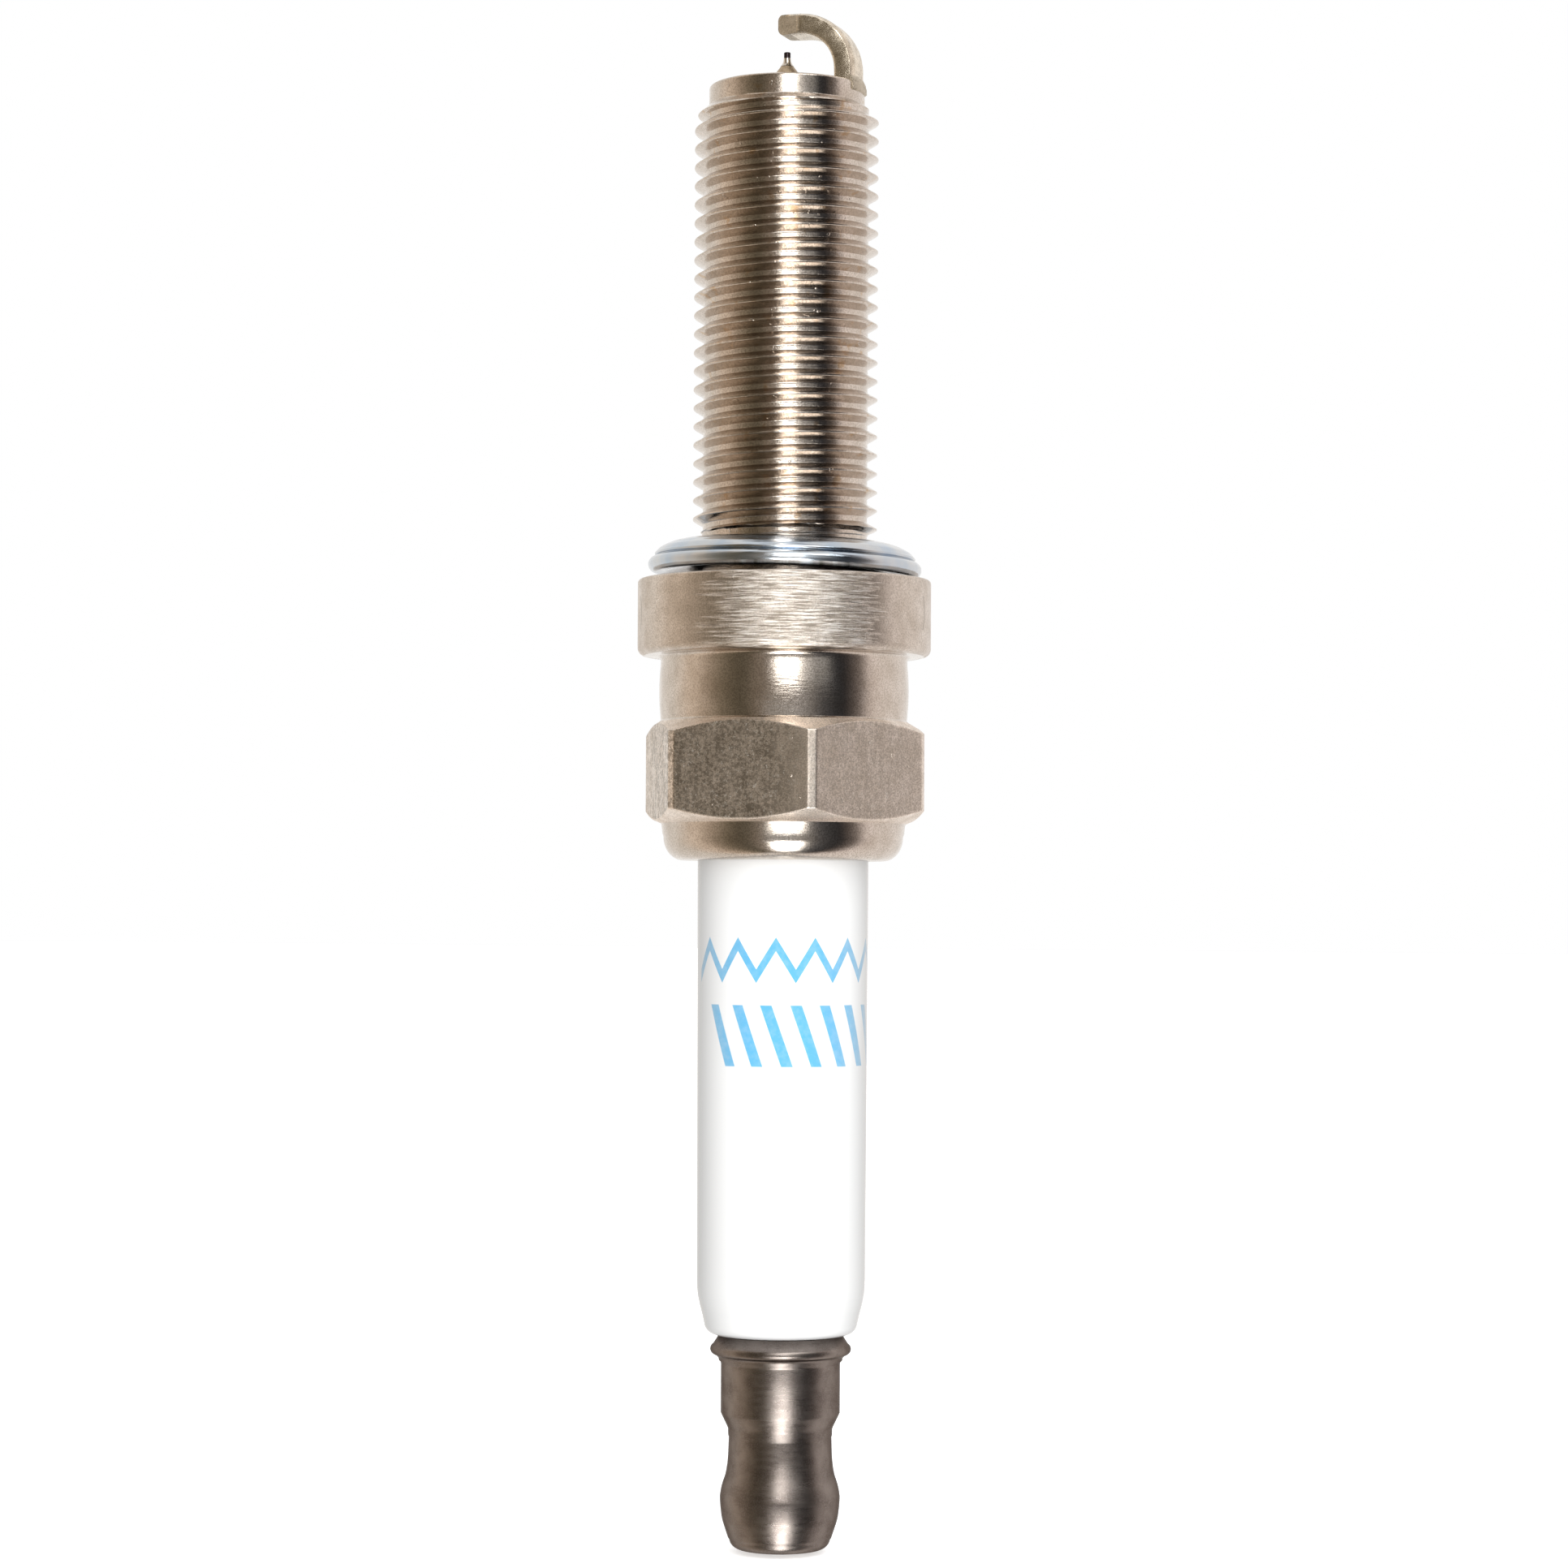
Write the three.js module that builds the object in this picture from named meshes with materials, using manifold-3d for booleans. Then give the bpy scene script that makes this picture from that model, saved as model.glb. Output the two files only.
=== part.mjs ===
// Motorcycle spark plug: M10 x 1 thread, long reach, 14 mm hexagon, captive gasket, iridium tip.
// Millimetres. The axis of the plug is Z and +Z points at the firing end. The origin is on the axis
// in the plane of the seat, the flange's flat face under the gasket. The ground electrode's root is
// on +X, so the electrode is bent in the XZ plane.

import * as THREE from 'three';
import { mergeVertices } from 'three/addons/utils/BufferGeometryUtils.js';
import Module from 'manifold-3d';

const wasm = await Module();
wasm.setup();

// ---------------------------------------------------------------- driving dimensions

const ROUND = 24; // facets round every turned piece, so that nested pieces share their facets
const FIT = 0.03; // gap between pieces that touch on the real plug
const DEG = Math.PI / 180;

// Thread and reach
const PITCH = 1.0;
const CREST_R = 4.965;
const ROOT_R = 4.43;
const REACH = 26.7; // seat to the shell's end face
const UNDERCUT_R = 4.48;
const THREAD_START = 2.4; // where the thread's first groove leaves the undercut
const THREAD_END = 25.5; // where the thread gives way to the plain pilot
const PILOT_R = 4.2;
const CREST_PHASE = 0.71; // height of a crest above a whole millimetre at the +X side

// Flange, neck, hexagon and crimp
const FLANGE_R = 7.9;
const FLANGE_H = 4.1;
const NECK_R = 6.62;
const NECK_BULGE = 0.1;
const HEX_TOP = -7.62;
const HEX_BOTTOM = -13.15;
const HEX_FLATS = 13.85; // across the flats, for a 14 mm socket
const HEX_CORNER_R = 7.87;
const CRIMP_END = -15.1;
const CRIMP_R = 6.45;
const CRIMP_ROUND = 1.05; // outer radius of the rolled edge

// Shell bores
const REAR_BORE_R = 5.5;
const BODY_BORE_R = 3.35;
const LEDGE_R = 2.75;
const NOSE_BORE_R = 3.2;
const LEDGE_Z = 15.1;
const REAR_BORE_END = -2.9; // start of the cone between the two bores

// Insulator
const REAR_END = -40.5;
const TRUNK_R = 4.53; // at the terminal
const TRUNK_ROOT_R = 4.6; // at the crimp
const MID_R = 5.42;
const MID_TOP = -11.1;
const BODY_R = 3.25;
const NOSE_ROOT_R = 2.5;
const NOSE_TIP_R = 1.85;
const NOSE_END = 26.9;
const SEAL_BORE_R = 1.6;
const WIRE_BORE_R = 1.02;
const BORE_STEP = 7.6; // where the wide bore narrows for the centre electrode

// Terminal
const TERMINAL_END = -52.0;
const COLLAR_R = 3.785;
const BARREL_R = 3.2;
const WAIST_R = 2.76;
const BULGE_R = 3.22;
const STEM_R = 1.5;
const STEM_END = -6.0;

// Electrodes
const TIP_TOP = 28.6;
const TIP_R = 0.18;
const GAP = 0.8;
const STRAP_W = 2.2;
const STRAP_T = 1.1;
const STRAP_ROUND = 0.3;
const STRAP_ROOT_U = 3.53; // distance of the strap's middle from the axis at its root
const STRAP_BEND_R = 2.6; // of the strap's middle line
const STRAP_PAST_AXIS = 0.33;
const STRAP_TRIM_W = 0.52; // taken off each side of the free end
const STRAP_TRIM_L = 1.35;
const STRAP_END_TOP_ROUND = 0.3; // of the free end, seen from the side
const STRAP_END_LOW_ROUND = 0.38;

// Gasket
const GASKET_HOLE_R = 4.62;
const GASKET_R = 7.37;
const GASKET_UPPER_R = 7.03;
const GASKET_H = 1.78;
const GASKET_LIFT = 0.28; // height of its underside above the seat, at the axis
const GASKET_TILT = 1.2 * DEG;
const GASKET_LOW_SIDE = 19 * DEG; // direction in which the gasket leans down

// ---------------------------------------------------------------- helpers

function vectors(points) {
  return points.map(([r, z]) => new THREE.Vector2(r, z));
}

// Points on a circular arc about (r, z), from one angle to another, in degrees from +r towards +z.
function arc(r, z, radius, from, to, steps = 4) {
  const points = [];
  for (let i = 0; i <= steps; i += 1) {
    const angle = (from + ((to - from) * i) / steps) * DEG;
    points.push([r + radius * Math.cos(angle), z + radius * Math.sin(angle)]);
  }
  return points;
}

function signedArea(points) {
  let area = 0;
  for (let i = 0; i < points.length; i += 1) {
    const [r0, z0] = points[i];
    const [r1, z1] = points[(i + 1) % points.length];
    area += r0 * z1 - r1 * z0;
  }
  return area / 2;
}

// A turned solid about Z from a profile of [r, z] points. A profile that leaves the axis and comes
// back to it makes a solid shaft; any other profile is closed on itself and makes a ring.
function turned(profile) {
  const onAxis = profile[0][0] === 0;
  const ordered = signedArea(profile) > 0 ? profile : [...profile].reverse();
  const points = onAxis ? ordered : [...ordered, ordered[0]];
  const geometry = new THREE.LatheGeometry(vectors(points), ROUND);
  geometry.rotateX(Math.PI / 2);
  return geometry;
}

function solidOf(geometry) {
  const bare = geometry.index ? geometry.toNonIndexed() : geometry.clone();
  bare.deleteAttribute('normal');
  bare.deleteAttribute('uv');
  const merged = mergeVertices(bare, 1e-4);
  return new wasm.Manifold(
    new wasm.Mesh({
      numProp: 3,
      vertProperties: new Float32Array(merged.attributes.position.array),
      triVerts: new Uint32Array(merged.index.array),
    }),
  );
}

function geometryOf(solid) {
  const mesh = solid.getMesh();
  const geometry = new THREE.BufferGeometry();
  geometry.setAttribute('position', new THREE.BufferAttribute(mesh.vertProperties, 3));
  geometry.setIndex(new THREE.BufferAttribute(mesh.triVerts, 1));
  geometry.computeVertexNormals();
  return geometry;
}

const plug = new THREE.Group();

function add(name, geometry, color, roughness, metalness) {
  const material = new THREE.MeshStandardMaterial({ color, roughness, metalness });
  const mesh = new THREE.Mesh(geometry, material);
  mesh.name = name;
  plug.add(mesh);
  return mesh;
}

// ---------------------------------------------------------------- metal shell

// The thread's ridge: a triangular section swept along a right-hand helix, buried in the core.
function threadRidge() {
  const buried = ROOT_R - 0.12;
  const halfFoot = (PITCH / 2) * ((CREST_R - buried) / (CREST_R - ROOT_R + 0.06));
  const firstTurn = Math.floor(THREAD_START) - 1;
  const turns = Math.ceil(THREAD_END) + 1 - firstTurn;
  const section = [
    [buried, -Math.min(halfFoot, PITCH * 0.49)],
    [CREST_R, 0],
    [buried, Math.min(halfFoot, PITCH * 0.49)],
  ];
  const positions = [];
  const steps = turns * ROUND;
  for (let i = 0; i <= steps; i += 1) {
    const angle = (i / ROUND) * 2 * Math.PI;
    const height = firstTurn + CREST_PHASE + (i / ROUND) * PITCH;
    for (const [r, dz] of section) {
      positions.push(r * Math.cos(angle), r * Math.sin(angle), height + dz);
    }
  }
  const index = [];
  for (let i = 0; i < steps; i += 1) {
    for (let k = 0; k < 3; k += 1) {
      const a = i * 3 + k;
      const b = i * 3 + ((k + 1) % 3);
      index.push(a, a + 3, b);
      index.push(b, a + 3, b + 3);
    }
  }
  const last = steps * 3;
  index.push(0, 1, 2);
  index.push(last, last + 2, last + 1);
  const geometry = new THREE.BufferGeometry();
  geometry.setAttribute('position', new THREE.Float32BufferAttribute(positions, 3));
  geometry.setIndex(index);
  return geometry;
}

// Everything a lathe would leave outside the thread: the limits of the ridge at both ends.
function threadEnvelope() {
  const outer = CREST_R + 1;
  return turned([
    [ROOT_R - 1, THREAD_START - 0.4],
    [UNDERCUT_R, THREAD_START - 0.05],
    [CREST_R, THREAD_START + 0.33],
    [outer, THREAD_START + 0.95],
    [outer, THREAD_END - 1.2],
    [CREST_R, THREAD_END - 0.5],
    [PILOT_R, THREAD_END + 0.12],
    [ROOT_R - 1, THREAD_END + 0.5],
  ]);
}

function shellBlank() {
  const neckMiddle = (HEX_TOP - FLANGE_H) / 2;
  return turned([
    // bores, from the firing end to the crimp
    [NOSE_BORE_R, REACH],
    [NOSE_BORE_R, LEDGE_Z + 1.9],
    [LEDGE_R, LEDGE_Z + 1.4],
    [LEDGE_R, LEDGE_Z],
    [BODY_BORE_R, LEDGE_Z - 0.55],
    [BODY_BORE_R, REAR_BORE_END + 2.15],
    [REAR_BORE_R, REAR_BORE_END],
    [REAR_BORE_R, CRIMP_END + 1.4],
    ...arc(REAR_BORE_R - 0.45, CRIMP_END + 1.3, 0.45, 0, -90, 3),
    [TRUNK_ROOT_R + FIT, CRIMP_END + 0.72],
    [TRUNK_ROOT_R + FIT, CRIMP_END + 0.1],
    // rolled edge, hexagon's turned blank, neck and flange
    [TRUNK_ROOT_R + 0.2, CRIMP_END],
    ...arc(CRIMP_R - CRIMP_ROUND, CRIMP_END + CRIMP_ROUND, CRIMP_ROUND, -90, 0, 5),
    [NECK_R - 0.05, HEX_BOTTOM],
    [HEX_CORNER_R, HEX_BOTTOM + 0.73],
    [HEX_CORNER_R, HEX_TOP - 0.7],
    [NECK_R, HEX_TOP],
    [NECK_R + NECK_BULGE, neckMiddle],
    [NECK_R, -FLANGE_H - 0.25],
    [FLANGE_R - 0.95, -FLANGE_H],
    ...arc(FLANGE_R - 0.4, -FLANGE_H + 0.4, 0.4, -90, 0, 3),
    [FLANGE_R, -0.15],
    [FLANGE_R - 0.15, 0],
    // seat, undercut, thread core and pilot
    [UNDERCUT_R, 0],
    [UNDERCUT_R, THREAD_START],
    [ROOT_R, THREAD_START + 0.12],
    [ROOT_R, THREAD_END - 0.1],
    [PILOT_R, THREAD_END + 0.1],
    [PILOT_R, REACH - 0.18],
    [PILOT_R - 0.05, REACH - 0.05],
    [PILOT_R - 0.18, REACH],
  ]);
}

// What is left outside the hexagon: a ring with a hexagonal hole, as deep as the hexagon.
function hexagonWaste() {
  const shape = new THREE.Shape();
  shape.absarc(0, 0, HEX_CORNER_R + 1, 0, 2 * Math.PI, false);
  const hole = new THREE.Path();
  const corner = HEX_FLATS / 2 / Math.cos(30 * DEG);
  for (let i = 0; i <= 6; i += 1) {
    const angle = -i * 60 * DEG;
    const point = [corner * Math.cos(angle), corner * Math.sin(angle)];
    if (i === 0) hole.moveTo(...point);
    else hole.lineTo(...point);
  }
  shape.holes.push(hole);
  const depth = HEX_TOP - HEX_BOTTOM;
  const settings = { depth, bevelEnabled: false, curveSegments: ROUND };
  const geometry = new THREE.ExtrudeGeometry(shape, settings);
  geometry.translate(0, 0, HEX_BOTTOM);
  return geometry;
}

function metalShell() {
  const blank = solidOf(shellBlank()).subtract(solidOf(hexagonWaste()));
  const ridge = solidOf(threadRidge()).intersect(solidOf(threadEnvelope()));
  return geometryOf(blank.add(ridge));
}

add('metal_shell', metalShell(), 0xb3a596, 0.25, 1.0);

// ---------------------------------------------------------------- ground electrode

const STRAP_TOP = TIP_TOP + GAP + STRAP_T;
const STRAP_FLAT_Z = STRAP_TOP - STRAP_T / 2;
const STRAP_FOOT_Z = REACH + FIT;

// Rounded rectangle, width along x and thickness along y.
function strapSection() {
  const w = STRAP_W / 2;
  const t = STRAP_T / 2;
  const shape = new THREE.Shape();
  shape.moveTo(-w + STRAP_ROUND, -t);
  shape.lineTo(w - STRAP_ROUND, -t);
  shape.absarc(w - STRAP_ROUND, -t + STRAP_ROUND, STRAP_ROUND, -Math.PI / 2, 0, false);
  shape.absarc(w - STRAP_ROUND, t - STRAP_ROUND, STRAP_ROUND, 0, Math.PI / 2, false);
  shape.absarc(-w + STRAP_ROUND, t - STRAP_ROUND, STRAP_ROUND, Math.PI / 2, Math.PI, false);
  shape.absarc(-w + STRAP_ROUND, -t + STRAP_ROUND, STRAP_ROUND, Math.PI, 1.5 * Math.PI, false);
  return shape;
}

// The strap's middle line in the XZ plane: up from the shell, round the bend, over the tip.
function strapPath() {
  const bendX = STRAP_ROOT_U - STRAP_BEND_R;
  const bendZ = STRAP_FLAT_Z - STRAP_BEND_R;
  const points = [[STRAP_ROOT_U, STRAP_FOOT_Z]];
  points.push(...arc(bendX, bendZ, STRAP_BEND_R, 0, 90, 10));
  points.push([-STRAP_PAST_AXIS, STRAP_FLAT_Z]);
  return points;
}

// The section swept along the middle line, square to it at every point.
function strapGeometry() {
  const section = strapSection().extractPoints(3).shape;
  if (section[0].distanceTo(section[section.length - 1]) < 1e-6) section.pop();
  const points = strapPath();
  const count = section.length;
  const positions = [];
  points.forEach(([x, z], i) => {
    const [xa, za] = points[Math.max(i - 1, 0)];
    const [xb, zb] = points[Math.min(i + 1, points.length - 1)];
    const along = new THREE.Vector2(xb - xa, zb - za).normalize();
    for (const p of section) {
      positions.push(x + p.y * along.y, p.x, z - p.y * along.x);
    }
  });
  const index = [];
  for (let i = 0; i < points.length - 1; i += 1) {
    for (let k = 0; k < count; k += 1) {
      const a = i * count + k;
      const b = i * count + ((k + 1) % count);
      index.push(a, a + count, b);
      index.push(b, a + count, b + count);
    }
  }
  const faces = THREE.ShapeUtils.triangulateShape(section, []);
  const last = (points.length - 1) * count;
  for (const [a, b, c] of faces) {
    index.push(a, b, c);
    index.push(last + a, last + c, last + b);
  }
  const geometry = new THREE.BufferGeometry();
  geometry.setAttribute('position', new THREE.Float32BufferAttribute(positions, 3));
  geometry.setIndex(index);
  return geometry;
}

// A wedge that trims one side of the free end: side is +1 or -1 along Y.
function trimWedge(side) {
  const tip = -STRAP_PAST_AXIS;
  const edge = (side * STRAP_W) / 2;
  const shape = new THREE.Shape();
  const slope = STRAP_TRIM_W / STRAP_TRIM_L;
  const beyond = 1;
  shape.moveTo(tip - beyond, edge - side * (STRAP_TRIM_W + slope * beyond));
  shape.lineTo(tip + STRAP_TRIM_L + beyond, edge + side * slope * beyond);
  shape.lineTo(tip - beyond, edge + side * slope * beyond);
  const geometry = new THREE.ExtrudeGeometry(shape, { depth: 4, bevelEnabled: false });
  geometry.translate(0, 0, STRAP_FLAT_Z - 2);
  return geometry;
}

// What the rounding of the free end's upper (side +1) or lower (side -1) edge takes away.
function endRounding(side, round) {
  const tip = -STRAP_PAST_AXIS;
  const face = STRAP_FLAT_Z + (side * STRAP_T) / 2;
  const beyond = 1;
  const shape = new THREE.Shape();
  shape.moveTo(tip - beyond, face - side * round);
  shape.lineTo(tip - beyond, face + side * beyond);
  shape.lineTo(tip + round, face + side * beyond);
  for (const degrees of [90, 60, 30, 0]) {
    const angle = degrees * DEG;
    const back = round * (1 - Math.cos(angle));
    const down = round * (1 - Math.sin(angle));
    shape.lineTo(tip + back, face - side * down);
  }
  const geometry = new THREE.ExtrudeGeometry(shape, { depth: 4, bevelEnabled: false });
  geometry.rotateX(Math.PI / 2);
  geometry.translate(0, 2, 0);
  return geometry;
}

function groundElectrode() {
  let strap = solidOf(strapGeometry());
  strap = strap.subtract(solidOf(endRounding(1, STRAP_END_TOP_ROUND)));
  strap = strap.subtract(solidOf(endRounding(-1, STRAP_END_LOW_ROUND)));
  for (const side of [1, -1]) strap = strap.subtract(solidOf(trimWedge(side)));
  return geometryOf(strap);
}

add('ground_electrode', groundElectrode(), 0x9c8f80, 0.5, 0.9);

// ---------------------------------------------------------------- insulator

function insulator() {
  return turned([
    [SEAL_BORE_R, REAR_END],
    [3.5, REAR_END],
    ...arc(3.55, REAR_END + 0.6, 0.6, -80, 0, 3),
    [4.32, REAR_END + 1.35],
    [4.46, REAR_END + 2.0],
    [TRUNK_R, REAR_END + 2.7],
    [TRUNK_ROOT_R, CRIMP_END],
    [TRUNK_ROOT_R, MID_TOP - 0.05],
    [MID_R - 0.25, MID_TOP],
    [MID_R, MID_TOP + 0.3],
    [MID_R, REAR_BORE_END - 0.1],
    [BODY_R, REAR_BORE_END + 2.15],
    [BODY_R, LEDGE_Z - 0.95],
    [NOSE_ROOT_R + 0.1, LEDGE_Z - 0.35],
    [NOSE_ROOT_R, LEDGE_Z],
    [NOSE_TIP_R + 0.05, NOSE_END - 0.4],
    [NOSE_TIP_R - 0.2, NOSE_END],
    [WIRE_BORE_R, NOSE_END],
    [WIRE_BORE_R, BORE_STEP],
    [SEAL_BORE_R, BORE_STEP - 0.4],
  ]);
}

add('insulator', insulator(), 0xf4f4f2, 0.12, 0.0);

// ---------------------------------------------------------------- terminal stud

function terminalStud() {
  const waistZ = TERMINAL_END + 6.1;
  const bulgeZ = TERMINAL_END + 2.65;
  return turned([
    [0, TERMINAL_END],
    [1.95, TERMINAL_END],
    ...arc(2.12, TERMINAL_END + 0.6, 0.6, -75, -5, 3),
    [2.94, TERMINAL_END + 0.9],
    [3.12, TERMINAL_END + 1.65],
    [BULGE_R, bulgeZ],
    [3.12, bulgeZ + 0.85],
    [2.9, bulgeZ + 1.5],
    [2.79, bulgeZ + 2.4],
    [WAIST_R, waistZ],
    [WAIST_R + 0.1, waistZ + 0.3],
    [BARREL_R, waistZ + 1.0],
    [BARREL_R, REAR_END - 1.3],
    [COLLAR_R - 0.15, REAR_END - 1.05],
    [COLLAR_R, REAR_END - 0.7],
    [COLLAR_R - 0.1, REAR_END - 0.35],
    [COLLAR_R - 0.45, REAR_END - FIT],
    [STEM_R, REAR_END - FIT],
    [STEM_R, STEM_END - 2.6],
    [STEM_R - 0.25, STEM_END - 2.3],
    [STEM_R - 0.25, STEM_END],
    [0, STEM_END],
  ]);
}

add('terminal_stud', terminalStud(), 0x6e625c, 0.35, 1.0);

// ---------------------------------------------------------------- column in the bore

const COLUMN_R = SEAL_BORE_R - FIT;
const RESISTOR_LOW = -4.0;
const RESISTOR_HIGH = 4.0;
const HEAD_R = 1.35;
const HEAD_LOW = BORE_STEP - 1.5;
const HEAD_HIGH = BORE_STEP - 0.35;
const WIRE_R = WIRE_BORE_R - FIT;
const CORE_R = 0.55;

function rearGlassSeal() {
  return turned([
    [0, RESISTOR_LOW - FIT],
    [COLUMN_R, RESISTOR_LOW - FIT],
    [COLUMN_R, STEM_END - 2.25],
    [STEM_R - 0.25 + FIT, STEM_END - 2.25],
    [STEM_R - 0.25 + FIT, STEM_END + FIT],
    [0, STEM_END + FIT],
  ]);
}

function resistor() {
  return turned([
    [0, RESISTOR_LOW],
    [COLUMN_R, RESISTOR_LOW],
    [COLUMN_R, RESISTOR_HIGH],
    [0, RESISTOR_HIGH],
  ]);
}

function frontGlassSeal() {
  return turned([
    [0, RESISTOR_HIGH + FIT],
    [COLUMN_R, RESISTOR_HIGH + FIT],
    [COLUMN_R, HEAD_HIGH - 0.2],
    [HEAD_R + FIT, HEAD_HIGH - 0.2],
    [HEAD_R + FIT, HEAD_LOW - FIT],
    [0, HEAD_LOW - FIT],
  ]);
}

add('rear_glass_seal', rearGlassSeal(), 0x4a3f35, 0.6, 0.1);
add('resistor', resistor(), 0x2b2b2b, 0.7, 0.0);
add('front_glass_seal', frontGlassSeal(), 0x6b4a32, 0.6, 0.2);

// ---------------------------------------------------------------- centre electrode

const CONE_LOW = NOSE_END + 0.15;
const CONE_HIGH = 27.85;
const CONE_TOP_R = 0.3;
const CORE_END = 24.5;
const TIP_FOOT = 27.6;
const BEAD_HIGH = 28.28;

function centreElectrode() {
  return turned([
    [0, CORE_END + FIT],
    [CORE_R + FIT, CORE_END + FIT],
    [CORE_R + FIT, HEAD_LOW],
    [HEAD_R, HEAD_LOW],
    [HEAD_R, HEAD_HIGH - 0.25],
    [WIRE_R, HEAD_HIGH],
    [WIRE_R, CONE_LOW],
    [0.62, CONE_LOW + 0.4],
    [CONE_TOP_R + 0.06, CONE_HIGH - FIT],
    [TIP_R + FIT, CONE_HIGH - FIT],
    [TIP_R + FIT, TIP_FOOT - FIT],
    [0, TIP_FOOT - FIT],
  ]);
}

function centreElectrodeCore() {
  return turned([
    [0, HEAD_LOW],
    [CORE_R, HEAD_LOW],
    [CORE_R, CORE_END - 0.4],
    [CORE_R - 0.25, CORE_END],
    [0, CORE_END],
  ]);
}

function tipWeldBead() {
  return turned([
    [TIP_R + FIT, CONE_HIGH],
    [CONE_TOP_R + 0.06, CONE_HIGH],
    [CONE_TOP_R - 0.03, CONE_HIGH + 0.2],
    [TIP_R + 0.05, BEAD_HIGH],
    [TIP_R + FIT, BEAD_HIGH],
  ]);
}

function iridiumTip() {
  return turned([
    [0, TIP_FOOT],
    [TIP_R, TIP_FOOT],
    [TIP_R, TIP_TOP - 0.06],
    [TIP_R - 0.06, TIP_TOP],
    [0, TIP_TOP],
  ]);
}

add('centre_electrode', centreElectrode(), 0xa38f74, 0.4, 1.0);
add('centre_electrode_core', centreElectrodeCore(), 0xb86f4c, 0.3, 1.0);
add('tip_weld_bead', tipWeldBead(), 0xd8d0c6, 0.15, 1.0);
add('iridium_tip', iridiumTip(), 0x2e2a2a, 0.35, 1.0);

// ---------------------------------------------------------------- packings inside the shell

const RING_WIRE_R = 0.36;
const RING_MIDDLE_R = (TRUNK_ROOT_R + REAR_BORE_R) / 2;
const LOWER_RING_Z = MID_TOP - 0.1 - RING_WIRE_R;
const UPPER_RING_Z = CRIMP_END + 0.9 + RING_WIRE_R;

function wireRing(z) {
  return turned(arc(RING_MIDDLE_R, z, RING_WIRE_R, 0, 315, 7));
}

function talcPacking() {
  const inner = TRUNK_ROOT_R + FIT;
  const outer = REAR_BORE_R - FIT;
  const low = UPPER_RING_Z + RING_WIRE_R + FIT;
  const high = LOWER_RING_Z - RING_WIRE_R - FIT;
  return turned([
    [inner, low],
    [outer, low],
    [outer, high],
    [inner, high],
  ]);
}

function seatPacking() {
  const rise = 0.55 / (BODY_BORE_R - LEDGE_R);
  const ledgeAt = (r) => LEDGE_Z - (r - LEDGE_R) * rise;
  const inner = LEDGE_R + 0.05;
  const outer = BODY_BORE_R - 0.12;
  return turned([
    [inner, ledgeAt(inner) - 0.05],
    [outer, ledgeAt(outer) - 0.05],
    [outer, ledgeAt(outer) - 0.27],
    [inner, ledgeAt(inner) - 0.27],
  ]);
}

add('seat_packing', seatPacking(), 0x9a9a98, 0.4, 1.0);
add('lower_wire_ring', wireRing(LOWER_RING_Z), 0x8a8a8a, 0.4, 1.0);
add('talc_packing', talcPacking(), 0xdcdcd4, 0.9, 0.0);
add('upper_wire_ring', wireRing(UPPER_RING_Z), 0x8a8a8a, 0.4, 1.0);

// ---------------------------------------------------------------- gasket

// Folded washer: two outer rolls, a domed top and an inner edge too small to pass the thread.
function gasketProfile() {
  const roll = 0.42;
  const upperRoll = 0.18;
  const upperZ = 1.0;
  return [
    [GASKET_HOLE_R + 0.5, 0.25],
    [6.3, 0],
    ...arc(GASKET_R - roll, roll, roll, -90, 60, 5),
    ...arc(GASKET_UPPER_R - upperRoll, upperZ, upperRoll, -20, 35, 2),
    [6.75, 1.3],
    [6.5, 1.44],
    [6.2, 1.58],
    [5.85, 1.69],
    [5.5, 1.76],
    [5.25, GASKET_H],
    [4.95, 1.7],
    [4.72, 1.5],
    [GASKET_HOLE_R, 1.25],
    [GASKET_HOLE_R, 0.7],
  ];
}

const gasket = add('gasket', turned(gasketProfile()), 0xaab4bd, 0.3, 1.0);
gasket.position.z = GASKET_LIFT;
const lean = new THREE.Vector3(-Math.sin(GASKET_LOW_SIDE), Math.cos(GASKET_LOW_SIDE), 0);
gasket.quaternion.setFromAxisAngle(lean, GASKET_TILT);

export default plug;
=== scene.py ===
"""Looks of a motorcycle spark plug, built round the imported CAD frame.

Sizes are in millimetres unless they say metres, and become metres when a mesh is made. The plug's
axis is Z, its firing end points along +Z, the seat is the plane z = 0 and the ground electrode
stands on +X.
"""

import math
import random

import bpy
from mathutils import Matrix, Vector


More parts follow.
